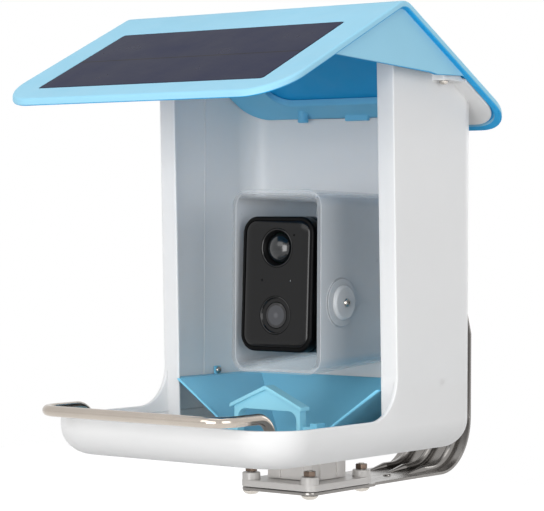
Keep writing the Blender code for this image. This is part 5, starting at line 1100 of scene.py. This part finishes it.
def make_screws():
    for name, side in (("left", -1), ("right", 1)):
        axis = Vector((side, 0, 0))
        place = Vector((side * TAB_X, TAB_Y, 0.1792))
        reach = rear_z(-0.1422, SHEET) - 0.1795
        screw("eave_screw_" + name, place, "Z", SHANK, reach, 0.003, 0.002, "roof_screw_" + name)
        start = Vector((side * (0.087 - 0.0025), FUNNEL_SCREW_Y, FUNNEL_SCREW_Z))
        screw("funnel_screw_" + name, start, axis, SHANK, 0.0016 + 2 * GAP + 0.00225, 0.0023, 0.0014,
              "ramp_screw_" + name)
        screw("tunnel_screw_" + name, Vector((side * SLEEVE_SCREW_X, BACK_Y - 0.0036, SLEEVE_SCREW_Z)), "Y", SHANK,
              GAP + 0.003 + 0.00225, 0.003, 0.002, "sleeve_screw_" + name)
        up = Vector((0, math.sin(REAR_SLOPE), math.cos(REAR_SLOPE)))
        spot = Vector((side * RING_SCREW_X, RING_SCREW_Y, rear_z(RING_SCREW_Y, SHEET + GAP + LINER)))
        screw("ring_screw_" + name, spot - up * GAP, up, SHANK, LINER + 0.00175, 0.003, 0.002,
              "liner_screw_" + name)
        face = SLEEVE_HALF + PAD_RISE + GAP
        rim = [(0.002, 0.0025), (0.0092, 0.0025), (0.0099, 0.0022), (0.0105, 0.0015), (0.01075, 0.0008),
               (0.01075, 0), (0.002, 0)]
        cap = turned("clear_cap_" + name, (side * face, PIVOT.y, PIVOT.z), axis, rim, 64, closed=True)
        fit(cap, "feeder", LOOKS["disc"], "clear_plastic", "pivot_cap_" + name)
        near, inside = CASE_HALF + GAP, SLEEVE_HALF - CLEAR_WALL - GAP
        spacer = turned("clear_spacer_" + name, (side * near, PIVOT.y, PIVOT.z), axis,
                        [(0.002, inside - near), (0.0117, inside - near), (0.012, inside - near - 0.0003),
                         (0.012, 0.0003), (0.0117, 0), (0.002, 0)], 64, closed=True)
        fit(transformed(spacer, TILT), "camera", LOOKS["disc"], "clear_plastic", "pivot_spacer_" + name)
        start = face + 0.0025 + GAP
        screw("tilt_screw_" + name, Vector((side * start, PIVOT.y, PIVOT.z)), -axis, 0.0016, start - 0.0235, 0.0027,
              0.002, "pivot_screw_" + name, "camera", tilt=True)
        place = Vector((side * PERCH_X, PERCH_Y, BASE_Z + GAP))
        flat = turned("rail_screw_" + name, place, "Z", [(0, 0), (0.003, 0), (0.0015, 0.002), (0.0015, 0.0117),
                                                         (0, 0.0117)], 32)
        cross_recess(flat, Matrix.Translation(place), 0.0017, 0.00035, -0.0005, 0.0011, 0.4)
        fit(flat, "feeder", LOOKS["fixing"], "fixings", "perch_screw_" + name, angle=40)
    head = FLOOR_Z - GAP
    length = head - (BASE_Z - BLOCK_HEIGHT - 2 * GAP - PLATE_THICK + GAP)
    center = turned("hub_bolt", (0, BLOCK_Y, head), "-Z", [(0, 0), (0.0048, 0), (0.0025, 0.0023), (0.0025, length),
                                                          (0, length)], 40)
    hexagon = turned("hex", (0, BLOCK_Y, head + 0.001), "-Z", [(0, 0), (0.0019, 0), (0.0019, 0.0028), (0, 0.0033)], 6)
    shape(center, ("cut", hexagon))
    fit(center, "feeder", LOOKS["fixing"], "fixings", "center_bolt", angle=40)
    rim = [(0.0028, -0.0018), (0.0066, -0.0018), (0.007, -0.0014), (0.007, -GAP), (0.005, -GAP), (0.005, WALL + GAP),
           (0.007, WALL + GAP), (0.007, WALL + 0.0014), (0.0066, WALL + 0.0018), (0.0028, WALL + 0.0018)]
    grommet = turned("lead_grommet", (GROMMET_X, BACK_Y, GROMMET_Z), "Y", rim, 48, closed=True)
    fit(grommet, "feeder", LOOKS["black_grip"], "black_rubber", "cable_grommet")


def dress_hidden():
    """Gives the CAD nodes that stay, most of them inside the camera, their finishes."""
    kept = {"case_gasket": "black_grip", "case_screw_low": "fixing", "case_screw_high": "fixing",
            "pir_sensor": "fixing", "lens_barrel": "satin", "status_light": "guide", "circuit_board": "board",
            "battery_pack": "sleeve_wrap", "speaker": "black_grip", "usb_socket": "fixing", "center_nut": "nut",
            "solar_backing": "backing", "solar_cells": "solar"}
    for node, look in kept.items():
        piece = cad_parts[node]
        piece.data.materials.clear()
        piece.data.materials.append(LOOKS[look])


# Studio and camera


def seen_rays(nodes, links):
    """1 for the rays that look at the studio: the camera's, and those off metal and through clear pieces."""
    rays = nodes.new("ShaderNodeLightPath")
    total = rays.outputs["Is Camera Ray"]
    for kind in ("Is Glossy Ray", "Is Transmission Ray"):
        total = worked(nodes, links, "MAXIMUM", total)
        links.new(rays.outputs[kind], total.node.inputs[1])
    return total


def make_studio():
    bm = bmesh.new()
    bmesh.ops.create_grid(bm, x_segments=1, y_segments=1, size=6)
    floor = new_object("floor", bm)
    floor.data.transform(Matrix.Translation((0, 0, -0.9)))
    look, nodes, links, shader = new_look("studio_floor")
    settings(shader, Base_Color=(0.4, 0.4, 0.4, 1), Roughness=0.9)
    glow = nodes.new("ShaderNodeEmission")
    links.new(worked(nodes, links, "MULTIPLY", seen_rays(nodes, links), 0.9), glow.inputs["Strength"])
    both = nodes.new("ShaderNodeAddShader")
    links.new(shader.outputs[0], both.inputs[0])
    links.new(glow.outputs[0], both.inputs[1])
    links.new(both.outputs[0], nodes["Material Output"].inputs["Surface"])
    floor.data.materials.append(look)

    world = bpy.data.worlds.new("studio")
    bpy.context.scene.world = world
    world.use_nodes = True
    nodes, links = world.node_tree.nodes, world.node_tree.links
    dim = nodes["Background"]
    white = nodes.new("ShaderNodeBackground")
    settings(white, Color=(1, 1, 1, 1))
    settings(dim, Color=(1, 1, 1, 1), Strength=0.42)
    mix = nodes.new("ShaderNodeMixShader")
    links.new(seen_rays(nodes, links), mix.inputs["Fac"])
    links.new(dim.outputs[0], mix.inputs[1])
    links.new(white.outputs[0], mix.inputs[2])
    links.new(mix.outputs[0], nodes["World Output"].inputs["Surface"])

    for name, spot, size, power in (("key", (-0.5, -1.7, 0.8), 0.9, 4.5), ("fill", (1.7, -0.7, 0.3), 1.0, 10),
                                    ("front", (0.4, -1.9, 0.12), 1.0, 18.5), ("top", (0.1, -0.2, 1.6), 1.1, 5),
                                    ("rear", (0.3, 1.9, 0.6), 1.2, 10)):
        lamp = bpy.data.lights.new(name, "AREA")
        lamp.size = size
        lamp.energy = power
        made = bpy.data.objects.new(name, lamp)
        bpy.context.scene.collection.objects.link(made)
        made.location = spot
        made.rotation_euler = (Vector((0, -0.2, 0.07)) - Vector(spot)).to_track_quat("-Z", "Y").to_euler()


def make_camera_view():
    seen = bpy.data.cameras.new("camera")
    seen.sensor_width = 36
    seen.lens = 146.13
    seen.clip_start, seen.clip_end = 0.05, 50
    made = bpy.data.objects.new("camera", seen)
    bpy.context.scene.collection.objects.link(made)
    turn, down, roll = math.radians(37.2173), math.radians(0.8125), math.radians(-0.2477)
    forward = Vector((-math.sin(turn) * math.cos(down), math.cos(turn) * math.cos(down), -math.sin(down)))
    right = Vector((math.cos(turn), math.sin(turn), 0))
    up = right.cross(forward)
    across = right * math.cos(roll) - up * math.sin(roll)
    upward = up * math.cos(roll) + right * math.sin(roll)
    place = Matrix.Translation((0.82045, -1.27095, 0.09231))
    made.matrix_world = place @ Matrix((across, upward, -forward)).transposed().to_4x4()
    bpy.context.scene.camera = made


bpy.context.scene.view_settings.view_transform = "Standard"
make_camera_view()
make_studio()
make_housing()
make_roof()
make_liner()
make_solar()
make_funnel()
make_gate()
make_perch()
make_sleeve()
make_camera()
arm, arm_top = make_mount()
make_bracket(arm, arm_top)
make_screws()
dress_hidden()
